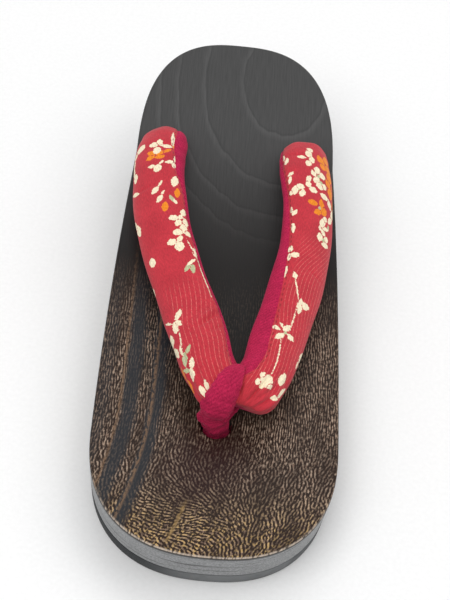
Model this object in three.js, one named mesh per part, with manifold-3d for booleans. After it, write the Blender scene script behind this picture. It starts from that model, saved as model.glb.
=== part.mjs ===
// A geta sandal: a low wooden deck on two rubber pads, with a padded V strap held by a front loop.
// Millimetres. X runs across the sandal, the toe points to -Y, Z is up and the floor is z = 0.
import * as THREE from 'three';
import { mergeVertices } from 'three/addons/utils/BufferGeometryUtils.js';
import Module from 'manifold-3d';

const wasm = await Module();
wasm.setup();

// Driving dimensions of the deck's outline.
const LENGTH = 235;
const TOE_HALF_WIDTH = 42;
const TOE_ARC_DEPTH = 49;
const TOE_ROUNDNESS = 2.4;
const HEEL_HALF_WIDTH = 38;
const HEEL_ARC_DEPTH = 62;
const HEEL_ROUNDNESS = 2.7;
const SIDE_BULGE = 1.1;
const ARC_STEPS = 18;
const SIDE_STEPS = 6;

// The deck's side profile: the top dips behind the toe and climbs to the heel.
const TOE_TOP = 21.4;
const HEEL_TOP = 38.4;
const TOP_SAG = 4.4;
const TOP_SKEW = 19.3;
const PROFILE_STEPS = 28;
const END_UNDERCUT = 4.3;
const SIDE_UNDERCUT = 0.9;

// The underside: a front block, an arch that opens under the waist, and a heel block.
const PAD_THICKNESS = 6.0;
const GLUE_GAP = 0.3;
const FRONT_BLOCK_END = -12;
const ARCH_SLOPE = 0.22;
const ARCH_RAMP_END = 44;
const ARCH_CROWN = 52;
const ARCH_CROWN_END = 61;
const ARCH_CROWN_EASE = 0.5;
const ARCH_CORNER_DROP = 3;
const HEEL_BLOCK_TOP_START = 66;
const HEEL_BLOCK_START = 71;

// The holes that the strap and its loop go down.
const FRONT_HOLE = { x: 0, y: -64.5, radius: 5.4 };
const REAR_HOLE = { x: 26.7, y: 59, radius: 6.4 };
const REAR_CORD = { radius: 5.7, below: 10, above: 3 };
const HOLE_SIDES = 24;

// Cutting and joining: how far slabs and blocks run past the sandal, the gap that the cloth keeps,
// the longest edge that counts as a sliver, and how close two corners are to be one.
const PAST_END = LENGTH / 2 + 4;
const PAST_SIDE = TOE_HALF_WIDTH + 8;
const PAST_TOP = HEEL_TOP + 6;
const CLEARANCE = 0.3;
const SLIVER = 0.02;
const SAME_CORNER = 1e-4;

// The strap: a row for each section of one side, from the front joint to the rear hole.
// along: Y, out: distance from the V's own midline, lean: that midline's X, lift: the middle's height
// over the deck, wide and thick: half sizes, tilt: degrees that the outer edge hangs down.
const STRAP_ROWS = [
  { along: -63.6, out: 3.4, lean: 5.8, lift: 11.6, wide: 3.0, thick: 2.4, tilt: 0 },
  { along: -62.3, out: 4.4, lean: 5.8, lift: 12.0, wide: 6.2, thick: 4.3, tilt: 2 },
  { along: -59.4, out: 5.8, lean: 5.7, lift: 12.5, wide: 8.1, thick: 5.4, tilt: 4 },
  { along: -54.0, out: 8.1, lean: 5.5, lift: 12.9, wide: 8.7, thick: 5.8, tilt: 7 },
  { along: -48.0, out: 10.6, lean: 5.3, lift: 12.9, wide: 9.2, thick: 5.9, tilt: 10 },
  { along: -38.0, out: 13.2, lean: 4.9, lift: 12.4, wide: 9.7, thick: 5.8, tilt: 13 },
  { along: -24.0, out: 17.4, lean: 4.1, lift: 11.5, wide: 9.8, thick: 5.6, tilt: 16 },
  { along: -8.0, out: 22.0, lean: 3.0, lift: 10.6, wide: 9.8, thick: 5.4, tilt: 18 },
  { along: 8.0, out: 25.6, lean: 1.8, lift: 9.7, wide: 9.8, thick: 5.3, tilt: 18 },
  { along: 24.0, out: 27.5, lean: 0.5, lift: 8.8, wide: 9.8, thick: 5.3, tilt: 17 },
  { along: 38.0, out: 27.8, lean: -0.5, lift: 7.6, wide: 9.8, thick: 5.4, tilt: 14 },
  { along: 48.0, out: 27.4, lean: -0.9, lift: 5.8, wide: 9.6, thick: 5.7, tilt: 10 },
  { along: 55.0, out: 27.0, lean: -0.6, lift: 3.6, wide: 9.2, thick: 5.9, tilt: 6 },
  { along: 60.0, out: 26.8, lean: -0.3, lift: 1.3, wide: 8.2, thick: 5.4, tilt: 2 },
  { along: 63.8, out: 26.7, lean: 0.0, lift: -0.8, wide: 5.6, thick: 3.6, tilt: 0 },
  { along: 65.6, out: 26.7, lean: 0.0, lift: -2.0, wide: 2.6, thick: 1.6, tilt: 0 },
];
const STRAP_STEPS = 44;
const STRAP_SIDES = 20;

// The front loop: a flat band, first up out of the front hole and over the strap's joint,
// then from behind the joint back under it to the standing part.
const LOOP_RISE_ROWS = [
  { x: 0.0, along: -64.5, lift: -12.0, wide: 4.8, thick: 3.2 },
  { x: 0.0, along: -64.5, lift: -2.0, wide: 4.8, thick: 3.2 },
  { x: -1.7, along: -64.8, lift: 4.5, wide: 5.1, thick: 3.1 },
  { x: -1.6, along: -65.2, lift: 10.0, wide: 5.3, thick: 2.9 },
  { x: 1.2, along: -63.2, lift: 15.8, wide: 5.3, thick: 2.7 },
  { x: 4.2, along: -58.6, lift: 18.9, wide: 5.1, thick: 2.5 },
  { x: 6.6, along: -53.4, lift: 17.6, wide: 4.3, thick: 2.4 },
  { x: 7.2, along: -50.6, lift: 13.0, wide: 3.5, thick: 2.4 },
  { x: 6.9, along: -51.3, lift: 9.4, wide: 3.5, thick: 2.4 },
  { x: 6.5, along: -52.2, lift: 7.4, wide: 2.6, thick: 1.6 },
];
const LOOP_RETURN_ROWS = [
  { x: 7.1, along: -50.9, lift: 11.4, wide: 3.1, thick: 2.0 },
  { x: 6.7, along: -51.8, lift: 8.0, wide: 3.4, thick: 2.3 },
  { x: 5.0, along: -55.6, lift: 5.2, wide: 3.8, thick: 2.3 },
  { x: 2.2, along: -60.4, lift: 4.6, wide: 4.2, thick: 2.2 },
  { x: -0.6, along: -64.0, lift: 4.4, wide: 4.3, thick: 2.0 },
];
const LOOP_RISE_STEPS = 30;
const LOOP_RETURN_STEPS = 14;
const LOOP_SIDES = 14;

// Surfaces, one for each kind of piece.
const WOOD = new THREE.MeshStandardMaterial({ color: 0x3a302a, roughness: 0.4, metalness: 0 });
const RUBBER = new THREE.MeshStandardMaterial({ color: 0x2f3133, roughness: 0.85, metalness: 0 });
const STRAP_CLOTH = new THREE.MeshStandardMaterial({ color: 0xc0363e, roughness: 0.9, metalness: 0 });
const LOOP_CLOTH = new THREE.MeshStandardMaterial({ color: 0xb0205a, roughness: 0.95, metalness: 0 });

/** A solid from a closed geometry, with its shared corners merged. */
function solidOf(geometry) {
  const plain = geometry.index ? geometry.clone() : geometry;
  plain.deleteAttribute('normal');
  plain.deleteAttribute('uv');
  const merged = mergeVertices(plain, SAME_CORNER);
  const mesh = new wasm.Mesh({
    numProp: 3,
    vertProperties: new Float32Array(merged.attributes.position.array),
    triVerts: new Uint32Array(merged.index.array),
  });
  return new wasm.Manifold(mesh);
}

/** A named mesh of a solid, with the slivers that the cuts left merged away. */
function pieceOf(name, solid, material) {
  const { vertProperties, triVerts } = solid.asOriginal().simplify(SLIVER).getMesh();
  const geometry = new THREE.BufferGeometry();
  geometry.setAttribute('position', new THREE.BufferAttribute(vertProperties, 3));
  geometry.setIndex(new THREE.BufferAttribute(triVerts, 1));
  geometry.computeVertexNormals();
  const mesh = new THREE.Mesh(geometry, material);
  mesh.name = name;
  return mesh;
}

/** Height of the deck's top at a place along its length. */
function deckTop(y) {
  const u = (y + LENGTH / 2) / LENGTH;
  const climb = TOE_TOP + (HEEL_TOP - TOE_TOP) * u;
  return climb - 4 * TOP_SAG * u * (1 - u) - TOP_SKEW * u * (1 - u) * (1 - 2 * u);
}

/** A quarter of a superellipse, from the side (t = 0) to the tip (t = 1), as [across, beyond]. */
function quarterArc(halfWidth, depth, roundness, t) {
  const angle = (t * Math.PI) / 2;
  const power = 2 / roundness;
  return [halfWidth * Math.cos(angle) ** power, depth * Math.sin(angle) ** power];
}

/** One side of the plan outline, from the toe's tip to the heel's tip. */
function outlineSide() {
  const points = [];
  const toeShoulder = -LENGTH / 2 + TOE_ARC_DEPTH;
  const heelShoulder = LENGTH / 2 - HEEL_ARC_DEPTH;
  for (let i = ARC_STEPS; i >= 0; i -= 1) {
    const [across, beyond] = quarterArc(TOE_HALF_WIDTH, TOE_ARC_DEPTH, TOE_ROUNDNESS, i / ARC_STEPS);
    points.push(new THREE.Vector2(across, toeShoulder - beyond));
  }
  for (let i = 1; i < SIDE_STEPS; i += 1) {
    const t = i / SIDE_STEPS;
    const across = TOE_HALF_WIDTH + (HEEL_HALF_WIDTH - TOE_HALF_WIDTH) * t + 4 * SIDE_BULGE * t * (1 - t);
    points.push(new THREE.Vector2(across, toeShoulder + (heelShoulder - toeShoulder) * t));
  }
  for (let i = 0; i <= ARC_STEPS; i += 1) {
    const [across, beyond] = quarterArc(HEEL_HALF_WIDTH, HEEL_ARC_DEPTH, HEEL_ROUNDNESS, i / ARC_STEPS);
    points.push(new THREE.Vector2(across, heelShoulder + beyond));
  }
  return points;
}

/** The plan outline as a tall block: true at the deck's top edge and drawn in towards the floor. */
function outlineBlock() {
  const side = outlineSide();
  const mirrored = side.slice(1, -1).reverse().map((p) => new THREE.Vector2(-p.x, p.y));
  const geometry = new THREE.ExtrudeGeometry(new THREE.Shape([...side, ...mirrored]), {
    depth: PAST_TOP,
    bevelEnabled: false,
    steps: 1,
  });
  const position = geometry.attributes.position;
  for (let i = 0; i < position.count; i += 1) {
    const drawn = 1 - position.getZ(i) / deckTop(position.getY(i));
    position.setX(i, position.getX(i) * (1 - (SIDE_UNDERCUT / TOE_HALF_WIDTH) * drawn));
    position.setY(i, position.getY(i) * (1 - (END_UNDERCUT / (LENGTH / 2)) * drawn));
  }
  return solidOf(geometry);
}

/** A side profile, given as [y, z] corners, run right across the sandal. */
function profileSlab(corners) {
  const shape = new THREE.Shape(corners.map(([y, z]) => new THREE.Vector2(y, z)));
  const geometry = new THREE.ExtrudeGeometry(shape, { depth: 2 * PAST_SIDE, bevelEnabled: false });
  // The shape's own x, y and depth become the sandal's Y, Z and X.
  geometry.applyMatrix4(new THREE.Matrix4().set(0, 0, 1, -PAST_SIDE, 1, 0, 0, 0, 0, 1, 0, 0, 0, 0, 0, 1));
  return solidOf(geometry);
}

/** Corners of the deck's top from heel to toe, raised by a margin. */
function topCorners(margin) {
  const corners = [];
  for (let i = 0; i <= PROFILE_STEPS; i += 1) {
    const y = PAST_END - (2 * PAST_END * i) / PROFILE_STEPS;
    corners.push([y, deckTop(y) + margin]);
  }
  return corners;
}

/** Corners of the deck's underside from toe to heel: block, arch, crown and heel block. */
function undersideCorners() {
  const bottom = PAD_THICKNESS + GLUE_GAP;
  const rise = (y) => bottom + ARCH_SLOPE * (y - FRONT_BLOCK_END);
  return [
    [-PAST_END, bottom],
    [FRONT_BLOCK_END, bottom],
    [ARCH_RAMP_END, rise(ARCH_RAMP_END)],
    [ARCH_CROWN, rise(ARCH_CROWN) - ARCH_CROWN_EASE],
    [ARCH_CROWN_END, rise(ARCH_CROWN) - ARCH_CROWN_EASE],
    [HEEL_BLOCK_TOP_START, rise(ARCH_CROWN) - ARCH_CORNER_DROP],
    [HEEL_BLOCK_START, bottom],
    [PAST_END, bottom],
  ];
}

/** An upright round pin between two heights, for a hole or for what fills it. */
function uprightPin(x, y, radius, bottom, top) {
  const geometry = new THREE.CylinderGeometry(radius, radius, top - bottom, HOLE_SIDES);
  geometry.rotateX(Math.PI / 2);
  geometry.translate(x, y, (bottom + top) / 2);
  return solidOf(geometry);
}

/** Cuts the three strap holes, each narrowed by a margin. */
function withHoles(solid, margin) {
  const through = (x, y, radius) => uprightPin(x, y, radius - margin, -HEEL_TOP, 2 * HEEL_TOP);
  return solid
    .subtract(through(FRONT_HOLE.x, FRONT_HOLE.y, FRONT_HOLE.radius))
    .subtract(through(REAR_HOLE.x, REAR_HOLE.y, REAR_HOLE.radius))
    .subtract(through(-REAR_HOLE.x, REAR_HOLE.y, REAR_HOLE.radius));
}

/** The wooden deck, from one plank: profile and outline together, with its holes. */
function makeDeck() {
  const slab = profileSlab([...undersideCorners(), ...topCorners(0)]);
  return withHoles(slab.intersect(outlineBlock()), 0);
}

/** The space that the deck and pads take up, grown by the clearance, which no cloth may enter. */
function deckKeepOut() {
  const slab = profileSlab([[-PAST_END, 0], [PAST_END, 0], ...topCorners(CLEARANCE)]);
  return withHoles(slab, CLEARANCE);
}

/** A rubber pad between two places along the length. */
function makePad(start, end) {
  const slab = profileSlab([[start, 0], [end, 0], [end, PAD_THICKNESS], [start, PAD_THICKNESS]]);
  return slab.intersect(outlineBlock());
}

/** A value of a table's column at a place t from 0 to 1 down the rows, smoothly curved. */
function columnAt(rows, column, t) {
  const points = rows.map((row, i) => new THREE.Vector3(i, row[column], 0));
  const curve = new THREE.CatmullRomCurve3(points, false, 'catmullrom', 0.5);
  return curve.getPoint(t).y;
}

/**
 * A closed flattened tube through a list of sections. Each has a middle, half sizes across (wide)
 * and through (thick), and a tilt about its path. Sections stay square to the path, with their
 * wide way as near as possible to the given side direction.
 */
function sweepFlatTube(sections, side, sideCount) {
  const levels = sections.length - 1;
  const geometry = new THREE.CylinderGeometry(1, 1, 1, sideCount, levels);
  const position = geometry.attributes.position;
  const frames = sections.map((section, i) => {
    const before = sections[Math.max(i - 1, 0)].middle;
    const after = sections[Math.min(i + 1, levels)].middle;
    const path = after.clone().sub(before).normalize();
    const wide = side.clone().addScaledVector(path, -side.dot(path)).normalize();
    return { ...section, wideWay: wide, thickWay: wide.clone().cross(path) };
  });
  for (let i = 0; i < position.count; i += 1) {
    const level = Math.round((position.getY(i) + 0.5) * levels);
    const frame = frames[level];
    const across = position.getX(i) * frame.wide;
    const through = position.getZ(i) * frame.thick;
    const cos = Math.cos(frame.tilt);
    const sin = Math.sin(frame.tilt);
    const point = frame.middle.clone()
      .addScaledVector(frame.wideWay, across * cos - through * sin)
      .addScaledVector(frame.thickWay, through * cos + across * sin);
    position.setXYZ(i, point.x, point.y, point.z);
  }
  return solidOf(geometry);
}

/** One side of the strap: sign 1 for +X, -1 for -X. */
function strapSide(sign) {
  const sections = [];
  for (let i = 0; i <= STRAP_STEPS; i += 1) {
    const t = i / STRAP_STEPS;
    const along = columnAt(STRAP_ROWS, 'along', t);
    const out = columnAt(STRAP_ROWS, 'out', t);
    const lean = columnAt(STRAP_ROWS, 'lean', t);
    const lift = columnAt(STRAP_ROWS, 'lift', t);
    sections.push({
      middle: new THREE.Vector3(lean + sign * out, along, deckTop(along) + lift),
      wide: columnAt(STRAP_ROWS, 'wide', t),
      thick: columnAt(STRAP_ROWS, 'thick', t),
      tilt: -sign * THREE.MathUtils.degToRad(columnAt(STRAP_ROWS, 'tilt', t)),
    });
  }
  return sweepFlatTube(sections, new THREE.Vector3(sign, 0, 0), STRAP_SIDES);
}

/** The cord that ties one side of the strap down through its rear hole. */
function rearCord(sign) {
  const surface = deckTop(REAR_HOLE.y);
  const { radius, below, above } = REAR_CORD;
  return uprightPin(sign * REAR_HOLE.x, REAR_HOLE.y, radius, surface - below, surface + above);
}

/** One stretch of the front loop's band, grown all round by a margin. */
function loopStretch(rows, steps, margin) {
  const sections = [];
  for (let i = 0; i <= steps; i += 1) {
    const t = i / steps;
    const along = columnAt(rows, 'along', t);
    const height = deckTop(along) + columnAt(rows, 'lift', t);
    sections.push({
      middle: new THREE.Vector3(columnAt(rows, 'x', t), along, height),
      wide: columnAt(rows, 'wide', t) + margin,
      thick: columnAt(rows, 'thick', t) + margin,
      tilt: 0,
    });
  }
  return sweepFlatTube(sections, new THREE.Vector3(1, 0, 0), LOOP_SIDES);
}

/** The whole band as a closed ring on its stem, grown all round by a margin. */
function loopBand(margin) {
  const rise = loopStretch(LOOP_RISE_ROWS, LOOP_RISE_STEPS, margin);
  return rise.add(loopStretch(LOOP_RETURN_ROWS, LOOP_RETURN_STEPS, margin));
}

// The strap gives way to the loop, which sinks into it as a drawn cord does.
const keepOut = deckKeepOut();
const strapSides = strapSide(1).add(strapSide(-1)).subtract(loopBand(CLEARANCE));
const strapPair = strapSides.subtract(keepOut).add(rearCord(1)).add(rearCord(-1));
const frontLoop = loopBand(0).subtract(keepOut);

const sandal = new THREE.Group();
sandal.add(pieceOf('deck', makeDeck(), WOOD));
sandal.add(pieceOf('front_rubber_pad', makePad(-PAST_END, FRONT_BLOCK_END), RUBBER));
sandal.add(pieceOf('heel_rubber_pad', makePad(HEEL_BLOCK_START, PAST_END), RUBBER));
sandal.add(pieceOf('strap_pair', strapPair, STRAP_CLOTH));
sandal.add(pieceOf('front_loop', frontLoop, LOOP_CLOTH));

export default sandal;
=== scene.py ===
"""A geta sandal: a lacquered, scorched-grain wooden deck on rubber treads, with a padded cloth V strap.

Sizes are in millimetres in the sandal's own frame, X across, the toe at -Y and Z up from the floor, and
turn to metres when a mesh is made.
"""

import logging
from dataclasses import dataclass
from enum import Enum
from functools import partial

import bpy
import numpy as np
from mathutils import Matrix, Vector

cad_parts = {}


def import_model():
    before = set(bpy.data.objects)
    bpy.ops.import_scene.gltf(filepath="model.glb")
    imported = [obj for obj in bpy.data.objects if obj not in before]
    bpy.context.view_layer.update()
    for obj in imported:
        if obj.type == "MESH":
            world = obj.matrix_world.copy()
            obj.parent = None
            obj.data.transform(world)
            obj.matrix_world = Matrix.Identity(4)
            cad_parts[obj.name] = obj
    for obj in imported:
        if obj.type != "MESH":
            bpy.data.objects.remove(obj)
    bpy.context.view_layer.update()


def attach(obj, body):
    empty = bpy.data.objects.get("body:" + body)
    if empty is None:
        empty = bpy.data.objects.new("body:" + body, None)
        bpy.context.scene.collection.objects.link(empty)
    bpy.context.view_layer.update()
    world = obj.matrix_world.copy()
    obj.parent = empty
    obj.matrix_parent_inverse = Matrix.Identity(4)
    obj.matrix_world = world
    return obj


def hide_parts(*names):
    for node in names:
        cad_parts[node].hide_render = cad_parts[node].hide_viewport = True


LOG = logging.getLogger("geta")
MM = 0.001
# how much larger a petal is drawn than its charted size, as ink spreads in the cloth
PETAL_SPREAD = 1.16
# width of the bare red line between two petals that touch, in mm
PETAL_GAP = 0.18
# a mesh edge this short, in mm, is a doubled point
DOUBLED = 1e-6
# an ink distance, in mm, that means no ink of that colour is near
NO_INK = 9.0
# node settings that many nodes share: an eased range, a mix of colours and a pattern in a plane
SMOOTH = {"interpolation_type": "SMOOTHSTEP"}
COLOUR = {"data_type": "RGBA", "out": 2}
FLAT = {"noise_dimensions": "2D"}
Array = np.ndarray


# ---------------------------------------------------------------- named options and small tools


class Side(Enum):
    """Which arm of the strap, by the sign of its X."""

    LOW_X = -1
    HIGH_X = 1


class Ink(Enum):
    """The print's colours, in the order that the cloth's `ink` attribute holds their distances."""

    CREAM = 0
    ORANGE = 1
    LEAF = 2


def linear(code: str) -> tuple[float, float, float, float]:
    """Turn an sRGB hex colour into linear light: below 0.04045 v / 12.92, else ((v + 0.055) / 1.055) ^ 2.4.

    Args:
        code: six hex digits.

    Returns:
        Linear red, green, blue and an alpha of 1.
    """
    v = np.array([int(code[i : i + 2], 16) / 255 for i in (0, 2, 4)])
    r, g, b = np.where(v <= 0.04045, v / 12.92, ((v + 0.055) / 1.055) ** 2.4)
    return float(r), float(g), float(b), 1.0


def add_node(tree, kind: str, feeds: dict | None = None, stops: tuple = (), out=0, **settings):
    """Add a shader node with its settings, its input values and its links.

    Args:
        tree: the node tree.
        kind: the node's type name without its leading ShaderNode.
        feeds: input name or number to a value, an sRGB hex colour, or the output that feeds it.
        stops: for a colour ramp, (position, grey or hex colour) pairs.
        out: name or number of the output wanted, or None for all of them.
        settings: the node's own properties.

    Returns:
        The output, or all the outputs.
    """
    node = tree.nodes.new("ShaderNode" + kind)
    for name, value in settings.items():
        setattr(node, name, value)
    for i, (position, value) in enumerate(stops):
        ramp = node.color_ramp.elements
        stop = ramp[i] if i < 2 else ramp.new(position)
        stop.position = position
        stop.color = linear(value) if isinstance(value, str) else (value, value, value, 1.0)
    for socket, value in (feeds or {}).items():
        if isinstance(value, bpy.types.NodeSocket):
            tree.links.new(value, node.inputs[socket])
        else:
            node.inputs[socket].default_value = linear(value) if isinstance(value, str) else value
    return node.outputs if out is None else node.outputs[out]


def blank_material(name: str) -> tuple:
    """Make a material with an empty node tree.

    Args:
        name: the real material's name.

    Returns:
        The material and its tree.
    """
    material = bpy.data.materials.new(name)
    material.use_nodes = True
    material.node_tree.nodes.clear()
    return material, material.node_tree


def finish_material(material, feeds: dict):
    """Give a material its surface and join that to the output.

    Args:
        material: the material, with the rest of its tree in place.
        feeds: the surface's own inputs.

    Returns:
        The material.
    """
    surface = add_node(material.node_tree, "BsdfPrincipled", feeds)
    add_node(material.node_tree, "OutputMaterial", {"Surface": surface}, out=None)
    return material


def smooth_step(low: float, high: float, value: Array) -> Array:
    """Ease from 0 to 1: with t the clamped share of the way, 3 t squared less 2 t cubed.

    Args:
        low: where it leaves 0.
        high: where it reaches 1.
        value: the places.

    Returns:
        The eased shares.
    """
    t = np.clip((value - low) / (high - low), 0.0, 1.0)
    return t * t * (3 - 2 * t)


def unit(vectors: Array) -> Array:
    """Scale vectors to length 1: each over its own length.

    Args:
        vectors: (..., k) vectors.

    Returns:
        The scaled vectors.
    """
    return vectors / np.maximum(np.linalg.norm(vectors, axis=-1, keepdims=True), 1e-9)


def bell(value: Array, middle: float, width: float) -> Array:
    """A soft hump: e to the minus square of the way from the middle over the width.

    Args:
        value: the places.
        middle: where it is 1.
        width: how far from there it has sunk to 1 / e.

    Returns:
        Its height at each place.
    """
    return np.exp(-(((value - middle) / width) ** 2))


def run_length(path: Array) -> Array:
    """Length along a path up to each point: the running sum of its steps.

    Args:
        path: (n, 3) points.

    Returns:
        (n,) lengths from 0.
    """
    return np.concatenate([[0], np.cumsum(np.linalg.norm(np.diff(path, axis=0), axis=1))])


def section_ways(path: Array, outward: Array) -> tuple[Array, Array]:
    """Directions of a section's width and thickness, square to a path.

    The width is the outward direction less its part along the path, and the thickness is their cross.

    Args:
        path: (n, 3) points.
        outward: the direction that the width is nearest to.

    Returns:
        (n, 3) unit directions of width and of thickness.
    """
    heading = unit(np.gradient(path, axis=0))
    wide_way = unit(outward - heading * (heading @ outward)[:, None])
    return wide_way, np.cross(wide_way, heading)


def capped(grid: Array) -> Array:
    """List a tube's points ring by ring, then the middle of its first and of its last ring.

    Args:
        grid: (rows, columns, 3) points.

    Returns:
        (n, 3) points, as tube_faces numbers them.
    """
    return np.vstack([grid.reshape(-1, 3), grid[0].mean(axis=0), grid[-1].mean(axis=0)])


def mesh_piece(name: str, points: Array, quads: Array, triangles: Array, materials: list,
               quad_slots: Array | None = None, triangle_slots: Array | None = None):
    """Make a mesh object from whole arrays of points (in mm) and faces.

    Args:
        name: the piece's name.
        points: (n, 3) places in millimetres.
        quads: (q, 4) corner numbers, may be empty.
        triangles: (t, 3) corner numbers, may be empty.
        materials: the piece's materials.
        quad_slots: material number of each quad, 0 when left out.
        triangle_slots: material number of each triangle, 0 when left out.

    Returns:
        The object, smooth shaded.
    """
    mesh = bpy.data.meshes.new(name)
    corners = np.concatenate([quads.reshape(-1), triangles.reshape(-1)]).astype(np.int32)
    starts = np.concatenate([np.arange(len(quads)) * 4, len(quads) * 4 + np.arange(len(triangles)) * 3])
    slots = np.concatenate([
        np.zeros(len(quads), int) if quad_slots is None else quad_slots,
        np.zeros(len(triangles), int) if triangle_slots is None else triangle_slots,
    ])
    mesh.vertices.add(len(points))
    mesh.vertices.foreach_set("co", (points * MM).astype(np.float32).ravel())
    mesh.loops.add(len(corners))
    mesh.loops.foreach_set("vertex_index", corners)
    mesh.polygons.add(len(starts))
    mesh.polygons.foreach_set("loop_start", starts.astype(np.int32))
    for material in materials:
        mesh.materials.append(material)
    mesh.polygons.foreach_set("material_index", slots.astype(np.int32))
    mesh.polygons.foreach_set("use_smooth", np.ones(len(starts), bool))
    mesh.update(calc_edges=True)
    mesh.validate()
    piece = bpy.data.objects.new(name, mesh)
    bpy.context.scene.collection.objects.link(piece)
    return piece


def write_attribute(mesh, name: str, values: Array) -> None:
    """Put a number or a triple at each point of a mesh.

    Args:
        mesh: the mesh.
        name: the name that its material reads.
        values: (n,) or (n, 3) values.
    """
    kind, key = ("FLOAT", "value") if values.ndim == 1 else ("FLOAT_VECTOR", "vector")
    attribute = mesh.attributes.new(name, kind, "POINT")
    attribute.data.foreach_set(key, values.astype(np.float32).ravel())


def mesh_points(mesh) -> Array:
    """Read a mesh's points.

    Args:
        mesh: the mesh.

    Returns:
        (n, 3) places in millimetres.
    """
    flat = np.zeros(len(mesh.vertices) * 3, np.float32)
    mesh.vertices.foreach_get("co", flat)
    return flat.reshape(-1, 3).astype(float) / MM


def tube_faces(rows: int, columns: int, flip: bool) -> tuple[Array, Array]:
    """Number the faces of a closed tube whose rings are its rows, with one point at each end.

    The ring points come first, row by row, then the front end's point and the rear end's point.

    Args:
        rows: how many rings.
        columns: points in a ring.
        flip: turn the faces over.

    Returns:
        The quads between rings and the triangles of the two ends.
    """
    i, j = np.meshgrid(np.arange(rows - 1), np.arange(columns), indexing="ij")
    k = (j + 1) % columns
    quads = np.stack([i * columns + j, (i + 1) * columns + j, (i + 1) * columns + k, i * columns + k], -1)
    j, k = j[0], k[0]
    front, rear, last = rows * columns, rows * columns + 1, (rows - 1) * columns
    ends = np.concatenate([
        np.stack([j, k, np.full(columns, front)], -1),
        np.stack([last + k, last + j, np.full(columns, rear)], -1),
    ])
    quads = quads.reshape(-1, 4)
    if flip:
        quads, ends = quads[:, ::-1], ends[:, ::-1]
    return quads, ends


def smooth_rows(rows: Array, t: Array) -> Array:
    """Read a table of rows as one smooth curve, by Catmull-Rom pieces of equal share.

    Args:
        rows: (n, k) the table.
        t: (m,) places from 0 at the first row to 1 at the last.

    Returns:
        (m, k) values: a cubic through each pair of rows, whose slopes are half the step between their
        neighbours.
    """
    padded = np.vstack([2 * rows[0] - rows[1], rows, 2 * rows[-1] - rows[-2]])
    x = np.clip(t, 0, 1) * (len(rows) - 1)
    i = np.minimum(x.astype(int), len(rows) - 2)
    w = (x - i)[:, None]
    p0, p1, p2, p3 = (padded[i + k] for k in range(4))
    m1, m2 = (p2 - p0) / 2, (p3 - p1) / 2
    return ((2 * w**3 - 3 * w**2 + 1) * p1 + (w**3 - 2 * w**2 + w) * m1
            + (3 * w**2 - 2 * w**3) * p2 + (w**3 - w**2) * m2)


def grid_normals(grid: Array, sign: float) -> Array:
    """Outward directions of a ring-by-ring tube: the slope along it crossed with the slope round it.

    Args:
        grid: (rows, columns, 3) points.
        sign: 1 or -1, by which way round the rings run.

    Returns:
        (rows, columns, 3) unit directions.
    """
    along = np.gradient(grid, axis=0)
    around = np.roll(grid, -1, axis=1) - np.roll(grid, 1, axis=1)
    return sign * unit(np.cross(along, around))


# ---------------------------------------------------------------- the deck's shape


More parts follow.
